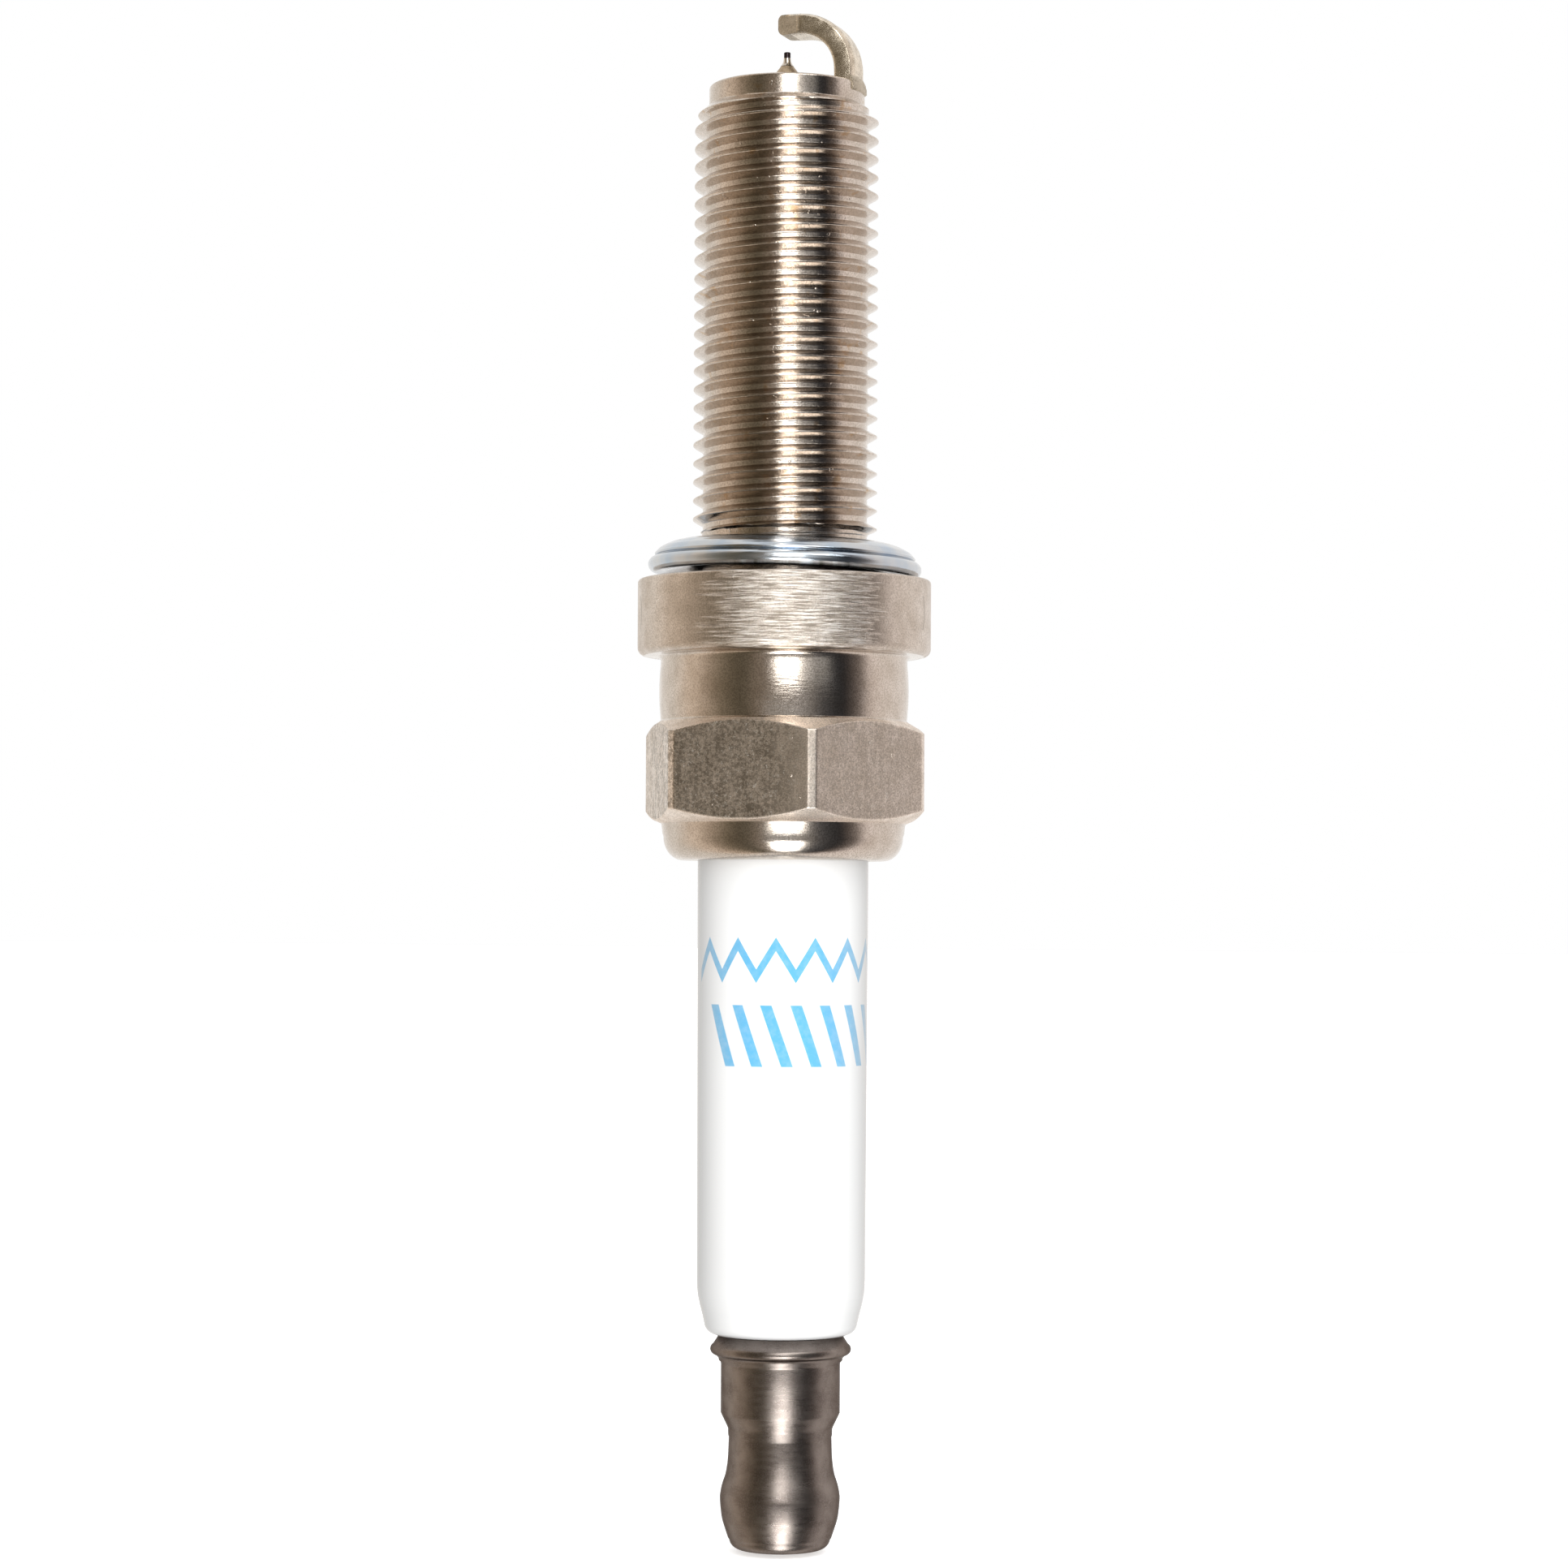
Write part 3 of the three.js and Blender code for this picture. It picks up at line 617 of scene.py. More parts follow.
def finish_piece(name, vertices, faces, materials, slots=None, sharp=32.0, body="plug"):
    """Makes the object from vertices in millimetres, smooth but for edges over sharp degrees."""
    mesh = bpy.data.meshes.new(name)
    mesh.from_pydata([tuple(c * MM for c in v) for v in vertices], [], faces)
    for one in materials:
        mesh.materials.append(one)
    if slots:
        mesh.polygons.foreach_set("material_index", slots)
    mesh.shade_smooth()
    mesh.set_sharp_from_angle(angle=math.radians(sharp))
    mesh.validate()
    mesh.update()
    piece = bpy.data.objects.new(name, mesh)
    bpy.context.collection.objects.link(piece)
    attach(piece, body)
    return piece


def signed_area(profile):
    """Area inside a closed (r, z) outline, positive when it runs from +r towards +z."""
    total = 0
    for (r0, z0), (r1, z1) in zip(profile, profile[1:] + profile[:1]):
        total += r0 * z1 - r1 * z0
    return total / 2


def turned(name, profile, metal, columns, sharp=32.0, body="plug"):
    """A turned piece. A profile that starts on the axis ends on it; any other closes on itself."""
    vertices = []
    circles = []
    for r, z in profile:
        if r == 0:
            circles.append([len(vertices)] * columns)
            vertices.append((0, 0, z))
            continue
        circles.append(range(len(vertices), len(vertices) + columns))
        for j in range(columns):
            angle = 2 * math.pi * j / columns
            vertices.append((r * math.cos(angle), r * math.sin(angle), z))
    if profile[0][0] != 0:
        circles.append(circles[0])
    faces = []
    for a, b in zip(circles, circles[1:]):
        for j in range(columns):
            k = (j + 1) % columns
            face = list(dict.fromkeys((a[j], a[k], b[k], b[j])))  # a triangle at the axis
            if len(face) > 2:
                faces.append(face)
    if signed_area(profile) <= 0:
        faces = [face[::-1] for face in faces]
    return finish_piece(name, vertices, faces, [metal], None, sharp, body)


# ---- metal shell ----

# The shell's material slots, in the order of SHELL_METALS
THREAD_SLOT, TURNED_SLOT, FLANGE_SLOT, BORE_SLOT, HEX_SLOT, CHAMFER_SLOT, CRIMP_SLOT = range(7)
SHELL_METALS = [THREAD_METAL, TURNED_METAL, FLANGE_METAL, BORE_METAL]
SHELL_METALS += [HEX_METAL, CHAMFER_METAL, CRIMP_METAL]
# Degrees from a corner of the hexagon at which the shell has columns
CORNER_STEPS = (0.0, 0.7, 1.2, 1.45, 1.6, 1.75, 2.0, 2.5)
CORNER_STEPS += (3.5, 5.0, 7.0, 10.0, 13.5, 17.5, 21.5, 26.0)
# Distances from a crest, in pitches, at which the thread's form has points
FORM_STEPS = (0.0, 0.03, 0.055, 0.085, 0.14, 0.21, 0.28, 0.33, 0.36, 0.39, 0.43, 0.47)
NECK_STEPS = 14
UPPER_EDGE, LOWER_EDGE = "upper", "lower"  # stand for the rings that shell_rows puts there


def column_angles():
    """Angles of the shell's columns, closest together at the hexagon's six corners."""
    sector = sorted({a for a in CORNER_STEPS} | {60 - a for a in CORNER_STEPS if a} | {30.0})
    return [math.radians(60 * k + a) for k in range(6) for a in sector]


ANGLES = column_angles()


def smooth_min(a, b, blend):
    """The smaller of two numbers, rounded off where they differ by less than blend."""
    share = max(blend - abs(a - b), 0) / blend
    return min(a, b) - share * share * blend / 4


def thread_radius(offset):
    """Radius of the thread's form at a distance along the axis from a crest's middle."""
    flank = CREST_R - (offset - CREST_FLAT / 2) * math.sqrt(3)
    top = smooth_min(flank, CREST_R, 0.03)
    return -smooth_min(-top, -ROOT_R, 0.07)


def thread_limit(z):
    """Radius that the run-outs at the thread's two ends leave."""
    start = UNDERCUT_R + (CREST_R - UNDERCUT_R) * (z - THREAD_START - RUN_OFFSET) / RUN_IN
    end = PILOT_R + (CREST_R - PILOT_R) * (THREAD_END + RUN_OFFSET - z) / RUN_OUT
    middle = (THREAD_START + THREAD_END) / 2
    return max(UNDERCUT_R if z < middle else PILOT_R, min(start, end, CREST_R))


def thread_columns():
    """For each column its points from the pilot down to the undercut, and how many make a turn."""
    top = math.floor(THREAD_END) + CREST_PHASE
    low = CREST_PHASE + 1
    offsets = [-o for o in reversed(FORM_STEPS[1:])] + list(FORM_STEPS) + [0.5]
    squeeze_from = THREAD_END + 0.25
    columns = []
    for angle in ANGLES:
        rise = angle / (2 * math.pi) * PITCH
        points = []
        crest = top
        while crest > low - 0.01:
            for offset in offsets:
                z = crest + rise - offset * PITCH
                r = min(thread_radius(abs(offset) * PITCH), thread_limit(z))
                if z > squeeze_from:
                    z = squeeze_from + (z - squeeze_from) * SQUEEZE
                points.append((r, z))
            crest -= PITCH
        columns.append(points)
    return columns, len(offsets)


def hexagon_radius(angle):
    away = (math.degrees(angle) + 30) % 60 - 30
    from_flat = math.radians(30 - abs(away))
    flat = HEX_FLATS / 2 / math.cos(from_flat)
    return smooth_min(flat, HEX_CORNER_R, 0.03)


def rings(slot, points):
    """Rings of the shell, each as its radius, its height and its material slot."""
    return [(r, z, slot) for r, z in points]


def upper_rings():
    """Rings from the bore's ledge out of the firing end and down to the pilot."""
    bore = [(LEDGE_R, LEDGE_Z + 1.4), (NOSE_BORE_R, LEDGE_Z + 1.9)]
    bore += [(NOSE_BORE_R, LEDGE_Z + 2.5), (NOSE_BORE_R, REACH - 0.6)]
    bore += [(NOSE_BORE_R, REACH - 0.12)]
    face = [(NOSE_BORE_R + 0.1, REACH), (PILOT_R - 0.3, REACH), (PILOT_R - 0.2, REACH)]
    face += arc(PILOT_R - 0.17, REACH - 0.17, 0.17, 84, 3, 6) + [(PILOT_R, REACH - 0.3)]
    pilot = [(PILOT_R, THREAD_END + 0.36)]
    return rings(BORE_SLOT, bore) + rings(TURNED_SLOT, face) + rings(THREAD_SLOT, pilot)


def neck_rings():
    """The neck from the flange to the hexagon, a little bulged."""
    low, high = HEX_TOP, -FLANGE_H - 0.28
    neck = [(FLANGE_R - 0.7, -FLANGE_H), (NECK_R + 0.42, -FLANGE_H - 0.02)]
    neck += arc(NECK_R + 0.3, high - 0.02, 0.28, 80, 180, 5)
    for i in range(1, NECK_STEPS):
        t = i / NECK_STEPS
        bulge = NECK_BULGE * math.sin(math.pi * t) ** 0.8
        neck.append((NECK_R + bulge, high + (low - high) * t))
    return neck + [(NECK_R + 0.015, low + 0.06), (NECK_R + 0.08, low - 0.035)]


def lower_rings():
    """Rings from the undercut over flange, neck, hexagon and crimp, then up the bores."""
    seat = arc(UNDERCUT_R + 0.2, 0.2, 0.2, 180, 270, 4) + [(5.5, 0), (6.8, 0)]
    flange = [(FLANGE_R - 0.2, 0)] + arc(FLANGE_R - 0.17, -0.17, 0.17, 80, 0, 4)
    flange += [(FLANGE_R, z) for z in (-0.6, -1.4, -2.2, -3.0)]
    flange += arc(FLANGE_R - 0.42, -FLANGE_H + 0.42, 0.42, 0, -82, 7)
    crimp = [(NECK_R - 0.06, HEX_BOTTOM - 0.06), (CRIMP_R + 0.06, HEX_BOTTOM - 0.5)]
    curl = arc(CRIMP_R - CRIMP_ROUND, 0, CRIMP_ROUND, 0, -88, 16)
    crimp += [(r, CRIMP_END + (CRIMP_ROUND + z) * CRIMP_STRETCH) for r, z in curl]
    crimp += [(TRUNK_ROOT_R + 0.35, CRIMP_END)]
    crimp += arc(TRUNK_ROOT_R + 0.15, CRIMP_END + 0.12, 0.12, 270, 180, 3)
    bores = [(TRUNK_ROOT_R + FIT, CRIMP_END + 0.72)]
    bores += arc(REAR_BORE_R - 0.45, CRIMP_END + 1.3, 0.45, -90, 0, 4)
    bores += [(REAR_BORE_R, CRIMP_END + 2.4), (REAR_BORE_R, REAR_BORE_END)]
    bores += [(BODY_BORE_R, BODY_BORE_START), (BODY_BORE_R, LEDGE_Z - LEDGE_DROP)]
    rows = rings(THREAD_SLOT, [(UNDERCUT_R, 0.9), (UNDERCUT_R, 0.25)])
    rows += rings(TURNED_SLOT, seat) + rings(FLANGE_SLOT, flange)
    rows += rings(TURNED_SLOT, neck_rings())
    rows += rings(HEX_SLOT, [(HEX_CORNER_R, UPPER_EDGE), (HEX_CORNER_R, LOWER_EDGE)])
    rows += rings(CHAMFER_SLOT, [(NECK_R - 0.02, HEX_BOTTOM + 0.04)])
    return rows + rings(CRIMP_SLOT, crimp) + rings(BORE_SLOT, bores + [(LEDGE_R, LEDGE_Z)])


def hexagon_edge(radius, upper):
    """The rounded edge where a chamfer cone meets the hexagon's side, and on down or up it."""
    rise = CHAMFER_RISE / (HEX_CORNER_R - NECK_R)
    end = HEX_TOP if upper else HEX_BOTTOM
    sign = -1 if upper else 1
    edge = end + sign * (radius - NECK_R) * rise
    soft = [(radius - 0.075, edge - sign * 0.042), (radius - 0.03, edge - sign * 0.014)]
    soft += [(radius - 0.007, edge + sign * 0.02), (radius, edge + sign * 0.07)]
    return soft + [(radius, edge + sign * 0.5), (radius, edge + sign * 1.2)]


def shell_rows(angle, rows):
    """The (r, z, slot) points of one column."""
    radius = hexagon_radius(angle)
    points = []
    for r, z, slot in rows:
        if z == UPPER_EDGE:
            soft = hexagon_edge(radius, True)
            points += rings(CHAMFER_SLOT, soft[:2]) + rings(HEX_SLOT, soft[2:])
        elif z == LOWER_EDGE:
            soft = hexagon_edge(radius, False)
            points += (rings(CHAMFER_SLOT, soft[:3]) + rings(HEX_SLOT, soft[3:]))[::-1]
        else:
            points.append((r, z, slot))
    return points


def metal_shell():
    """The shell in columns: above, between and below the thread's two ends.

    The thread climbs one pitch in a turn, so at the seam its columns meet one turn apart.
    """
    vertices, faces, slots = [], [], []
    thread, per_turn = thread_columns()
    above, between, below = [], [], []

    def put(angle, r, z):
        vertices.append((r * math.cos(angle), r * math.sin(angle), z))
        return len(vertices) - 1

    upper, lower = upper_rings(), lower_rings()
    for angle, points in zip(ANGLES, thread):
        above.append([put(angle, r, z) for r, z, _ in upper])
        between.append([put(angle, r, z) for r, z in points])
        below.append([put(angle, r, z) for r, z, _ in shell_rows(angle, lower)])
    lower_slots = [slot for _, _, slot in shell_rows(0, lower)]
    count = len(ANGLES)

    def strip(a, b, marks):
        for i in range(len(a) - 1):
            faces.append([a[i], a[i + 1], b[i + 1], b[i]])
            slots.append(marks[i])

    for j in range(count):
        k = (j + 1) % count
        seam = per_turn if k == 0 else 0
        strip(above[j], above[k], [slot for _, _, slot in upper[1:]])
        met = between[k][: len(between[k]) - seam]
        strip(between[j][seam:], met, [THREAD_SLOT] * len(between[j]))
        strip(below[j], below[k], lower_slots[1:])
        faces.append([above[j][-1], *between[j][: seam + 1], between[k][0], above[k][-1]])
        bottom = between[k][len(between[k]) - 1 - seam :]
        faces.append([between[j][-1], below[j][0], below[k][0], *reversed(bottom)])
        faces.append([below[j][-1], above[j][0], above[k][0], below[k][-1]])
        slots.extend([THREAD_SLOT, THREAD_SLOT, BORE_SLOT])
    piece = finish_piece("metal_shell_fine", vertices, faces, SHELL_METALS, slots, sharp=38.0)
    weigh = piece.modifiers.new("weigh", "WEIGHTED_NORMAL")
    weigh.keep_sharp = True
    weigh.weight = 80
    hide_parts("metal_shell")


metal_shell()

# ---- ground electrode ----

STRAP_SLOT, CUT_SLOT = range(2)
FAR_FROM_END = 99.0  # stands for the way to the free end of rings that its cut doesn't reach


def strap_section(steps=5):
    """Outline across the strap and outwards: tapered outer edges, rounded inner ones."""
    w, t = STRAP_W / 2, STRAP_T / 2
    edge = [(w, t - 0.2), (w - 0.012, t - 0.165), (w - 0.045, t - 0.14), (w - 0.33, t - 0.015)]
    edge.append((w - 0.42, t))
    points = edge + [(-across, outward) for across, outward in reversed(edge)]
    inner = STRAP_ROUND * 0.6
    points += arc(-w + inner, -t + inner, inner, 180, 270, steps)
    points += arc(w - inner, -t + inner, inner, 270, 360, steps)
    return points


def strap_line(steps=26):
    """Middle line in the XZ plane: each point, the way outwards and how far the free end is."""
    bend_x, bend_z = STRAP_ROOT_U - STRAP_BEND_R, STRAP_FLAT_Z - STRAP_BEND_R
    foot = REACH - 0.25
    line = []
    for i in range(STRAP_FOOT_STEPS):
        z = foot + (bend_z - foot) * i / STRAP_FOOT_STEPS
        line.append(((STRAP_ROOT_U, z), (1.0, 0.0), FAR_FROM_END))
    for i in range(steps + 1):
        angle = math.pi / 2 * i / steps
        out = (math.cos(angle), math.sin(angle))
        place = (bend_x + STRAP_BEND_R * out[0], bend_z + STRAP_BEND_R * out[1])
        line.append((place, out, FAR_FROM_END if i < steps else bend_x - STRAP_TIP_U))
    for left in STRAP_END_STEPS:
        line.append(((STRAP_TIP_U + left, STRAP_FLAT_Z), (0.0, 1.0), left))
    return line


def end_loss(left, rounding):
    """How much the rounding of the free end takes off a face, so far from the end."""
    if left >= rounding:
        return 0.0
    return rounding - math.sqrt(rounding**2 - (rounding - left) ** 2)


def ground_electrode():
    section = strap_section()
    count = len(section)
    rng = random.Random(SEED)
    vertices, faces, slots = [], [], []
    line = strap_line()
    reaches = []
    for (u, z), (ox, oz), left in line:
        reach = STRAP_W / 2 - max(0.0, 1 - left / STRAP_TRIM_L) * STRAP_TRIM_W
        reaches.append(reach)
        upper = 1 - end_loss(left, STRAP_END_TOP_ROUND) / (STRAP_T / 2)
        lower = 1 - end_loss(left, STRAP_END_LOW_ROUND) / (STRAP_T / 2)
        for across, outward in section:
            d = outward * (upper if outward > 0 else lower)
            d += rng.uniform(-STRAP_RAGGED, STRAP_RAGGED)
            y = max(-reach, min(reach, across)) + rng.uniform(-0.004, 0.004)
            d = min(d, STRAP_T / 2)
            vertices.append((u + ox * d, y, z + oz * d))
    rows = len(line)
    for n in range(rows - 1):
        for k in range(count):
            a, b = n * count + k, n * count + (k + 1) % count
            faces.append([a, b, b + count, a + count])
            across = min(abs(section[k][0]), abs(section[(k + 1) % count][0]))
            cut = line[n][2] < STRAP_TRIM_L and across > reaches[n] - 0.02
            slots.append(CUT_SLOT if cut else STRAP_SLOT)
    faces.append(list(range(count))[::-1])
    faces.append([(rows - 1) * count + k for k in range(count)])
    slots += [STRAP_SLOT, CUT_SLOT]
    metals = [STRAP_METAL, SHEARED_METAL]
    piece = finish_piece("ground_electrode_fine", vertices, faces, metals, slots, sharp=26.0)
    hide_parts("ground_electrode")


ground_electrode()


def weld_block():
    """The sheared upset of the strap's weld, which laps over the shell's rounded edge."""
    half = STRAP_W / 2 + 0.02
    rng = random.Random(SEED + 1)
    outline = [(3.5, REACH - 0.1), (3.5, REACH + 0.1)]
    outline += [(STRAP_ROOT_U + STRAP_T / 2 + 0.01, REACH + 0.3), (PILOT_R + 0.05, REACH + 0.04)]
    outline += [(PILOT_R + 0.1, REACH - 0.22), (PILOT_R + 0.09, REACH - 0.48)]
    outline += [(PILOT_R - 0.02, REACH - 0.56), (PILOT_R - 0.4, REACH - 0.4)]
    steps = 14
    vertices, faces = [], []
    for i in range(steps + 1):
        y = -half + 2 * half * i / steps
        for r, z in outline:
            reach = math.sqrt(max(r * r - y * y, 0)) if r > WELD_ROUND_FROM else r
            flat = min(reach, r - 0.02)
            ragged = rng.uniform(-WELD_RAGGED, WELD_RAGGED)
            vertices.append((flat + ragged, y + ragged, z + ragged))
    count = len(outline)
    for i in range(steps):
        for k in range(count):
            a, b = i * count + k, i * count + (k + 1) % count
            faces.append([a, a + count, b + count, b])
    faces.append(list(range(count)))
    faces.append([steps * count + k for k in range(count)][::-1])
    metals = [SHEARED_METAL]
    piece = finish_piece("ground_electrode_weld", vertices, faces, metals, sharp=35.0)


weld_block()

# ---- insulator and terminal ----


def insulator():
    """The outside from the rear end to the nose, then back down the bore."""
    rear = [(SEAL_BORE_R + 0.05, REAR_END), (3.45, REAR_END)]
    rear += arc(3.5, REAR_END + 0.62, 0.62, -88, -12, 8)
    flare = [(4.2, REAR_END + 0.95), (4.36, REAR_END + 1.55), (4.475, REAR_END + 2.1)]
    rear += curve_through(flare, 4)[1:]
    rear += [(4.515, REAR_END + 2.5), (TRUNK_R, REAR_END + 3.0)]
    trunk = [(TRUNK_ROOT_R, CRIMP_END), (TRUNK_ROOT_R, MID_TOP - 0.15)]
    middle = [(MID_R - 0.25, MID_TOP), (MID_R - 0.07, MID_TOP + 0.07), (MID_R, MID_TOP + 0.25)]
    body = [(MID_R, REAR_BORE_END - 0.1), (BODY_R, BODY_BORE_START), (BODY_R, LEDGE_Z - 0.95)]
    nose = [(NOSE_ROOT_R + 0.1, LEDGE_Z - 0.35), (NOSE_ROOT_R, LEDGE_Z)]
    nose += arc(NOSE_TIP_R - 0.2, NOSE_END - 0.22, 0.22, 2, 88, 6)
    bore = [(WIRE_BORE_R, NOSE_END), (WIRE_BORE_R, BORE_STEP), (SEAL_BORE_R, BORE_STEP - 0.4)]
    bore += [(SEAL_BORE_R, REAR_END + 0.05)]
    outline = rear + trunk + middle + body + nose + bore
    piece = turned("insulator_fine", outline, GLAZED, columns=192)
    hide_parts("insulator")


insulator()


def terminal_stud():
    """The outside from the end face over bulge, waist, barrel and collar to the grooved stem."""
    waist = TERMINAL_END + 6.1
    end = [(0, TERMINAL_END), (1.6, TERMINAL_END), (1.95, TERMINAL_END + 0.01)]
    end += arc(2.12, TERMINAL_END + 0.6, 0.6, -80, -8, 9)
    lower = [(r, TERMINAL_END + up) for r, up in BULGE_SHAPE] + [(WAIST_R, waist - 0.12)]
    cone = [(WAIST_R + 0.035, waist), (WAIST_R + 0.04, waist + 0.33)]
    cone += [(WAIST_R + 0.09, waist + 0.46), (BARREL_R - 0.05, waist + 1.08)]
    cone += [(BARREL_R, waist + 1.2)]
    barrel = [(BARREL_R, REAR_END - 1.62), (BARREL_R + 0.02, REAR_END - 1.5)]
    barrel += [(BARREL_R + 0.12, REAR_END - 1.4), (BARREL_R + 0.14, REAR_END - 1.28)]
    collar = [(COLLAR_R - 0.3, REAR_END - 1.12)]
    collar += arc(COLLAR_R - 0.3, REAR_END - 0.8, 0.3, -80, 60, 9)
    collar += [(COLLAR_R - 0.45, REAR_END - FIT - 0.05), (COLLAR_R - 0.6, REAR_END - FIT)]
    stem = [(STEM_R, REAR_END - FIT), (STEM_R, STEM_END - 5.0)]
    groove = STEM_END - 5.0
    while groove < STEM_END - 3.0:
        stem += [(STEM_R, groove + 0.12), (STEM_R - 0.1, groove + 0.2), (STEM_R, groove + 0.28)]
        groove += 0.4
    stem += [(STEM_R, STEM_END - 2.6), (STEM_FOOT_R, STEM_FOOT_Z)]
    stem += [(STEM_FOOT_R, STEM_END), (0, STEM_END)]
    outline = end + curve_through(lower, 4) + cone + barrel + collar + stem
    piece = turned("terminal_stud_fine", outline, STUD_METAL, columns=160, sharp=40.0)
    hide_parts("terminal_stud")


terminal_stud()

# ---- electrodes ----

CONE_LOW = NOSE_END + 0.15
CONE_HIGH = 27.85
CONE_TOP_R = 0.31
CONE_SHAPE = ((0.96, CONE_LOW), (0.74, 27.3), (0.56, 27.55), (0.43, 27.72))
CONE_SHAPE += ((0.36, CONE_HIGH - FIT),)
BEAD_SHAPE = ((0.345, CONE_HIGH + 0.01), (0.28, 27.96), (0.225, 28.08), (0.203, 28.19))
BEAD_SHAPE += ((0.195, BEAD_END),)
CORE_END = 24.5
CORE_R = 0.55
TIP_R = 0.18
HEAD_R = 1.35
HEAD_LOW = BORE_STEP - 1.5
HEAD_HIGH = BORE_STEP - 0.35
WIRE_R = WIRE_BORE_R - FIT


def centre_electrode():
    """The sheath, its copper core, the weld bead on it and the tip."""
    sheath = [(0, CORE_END + FIT), (CORE_R + FIT, CORE_END + FIT), (CORE_R + FIT, HEAD_LOW)]
    sheath += [(HEAD_R, HEAD_LOW), (HEAD_R, HEAD_HIGH - 0.25), (WIRE_R, HEAD_HIGH)]
    sheath += [(WIRE_R, CONE_LOW - 0.05)]
    sheath += curve_through(CONE_SHAPE, 5)
    hole_r, hole_end = TIP_R + FIT, TIP_LOW.z - FIT
    sheath += [(hole_r, CONE_HIGH - FIT), (hole_r, hole_end), (0, hole_end)]
    piece = turned("centre_electrode_fine", sheath, CONE_METAL, columns=64)
    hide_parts("centre_electrode")

    core = [(0, HEAD_LOW), (CORE_R, HEAD_LOW), (CORE_R, CORE_END - 0.4)]
    core += [(0.3, CORE_END), (0, CORE_END)]
    piece = turned("centre_electrode_core_fine", core, COPPER, columns=48)
    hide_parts("centre_electrode_core")

    bead = [(TIP_R + 0.012, CONE_HIGH - 0.01), (CONE_TOP_R + 0.05, CONE_HIGH - 0.01)]
    bead += curve_through(BEAD_SHAPE, 5)
    bead += [(TIP_R + 0.012, BEAD_END)]
    piece = turned("tip_weld_bead_fine", bead, WELD_METAL, columns=48)
    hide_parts("tip_weld_bead")

    tip = [(0, TIP_LOW.z), (TIP_R, TIP_LOW.z), (TIP_R, TIP_HIGH.z - 0.07)]
    tip += arc(TIP_R - 0.05, TIP_HIGH.z - 0.05, 0.05, 10, 80, 4) + [(0, TIP_HIGH.z)]
    piece = turned("iridium_tip_fine", tip, IRIDIUM, columns=48)
    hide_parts("iridium_tip")


centre_electrode()

# ---- gasket ----


def gasket_outline():
    """Folded washer: flat foot, lower roll, groove, upper lip, domed top and rolled inner edge."""
    roll = 0.42
    outline = [(5.3, 0.42), (5.8, 0.26), (6.4, 0.09)]
    outline += arc(GASKET_R - roll, roll, roll, -100, 66, 15)
    outline += [(7.03, 0.815), (6.93, 0.83), (6.9, 0.87), (6.93, 0.9)]
    outline += arc(GASKET_UPPER_R - 0.1, 0.99, 0.1, -50, 45, 6)
    dome = [(6.97, 1.09), (6.75, 1.31), (6.5, 1.45), (6.2, 1.59), (5.85, 1.69), (5.5, 1.76)]
    dome += [(5.25, GASKET_H), (4.95, 1.7), (4.74, 1.52), (4.64, 1.3)]
    outline += curve_through(dome, 5)
    outline += [(GASKET_HOLE_R, 1.18), (GASKET_HOLE_R, 0.8), (GASKET_HOLE_R + 0.12, 0.68)]
    outline += [(GASKET_HOLE_R + 0.5, 0.62), (GASKET_HOLE_R + 0.58, 0.52)]
    return outline


def gasket():
    """The washer, leaning a little to one side as it lies loose on the flange."""
    metal, body = ZINC_METAL, "gasket_ring"
    piece = turned("gasket_fine", gasket_outline(), metal, columns=200, sharp=40.0, body=body)
    axis = Vector((-math.sin(GASKET_LOW_SIDE), math.cos(GASKET_LOW_SIDE), 0))
    lean = Matrix.Rotation(GASKET_TILT, 4, axis)
    piece.data.transform(Matrix.Translation((0, 0, GASKET_LIFT * MM)) @ lean)
    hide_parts("gasket")


gasket()

# ---- hidden pieces inside the shell ----

COLUMN_R = SEAL_BORE_R - FIT
RESISTOR_LOW, RESISTOR_HIGH = -4.0, 4.0
RING_WIRE_R = 0.36
RING_MIDDLE_R = (TRUNK_ROOT_R + REAR_BORE_R) / 2
LOWER_RING_Z = MID_TOP - 0.1 - RING_WIRE_R
UPPER_RING_Z = CRIMP_END + 0.9 + RING_WIRE_R


def hidden(node, profile, metal):
    piece = turned(node + "_fine", profile, metal, columns=96)
    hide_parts(node)


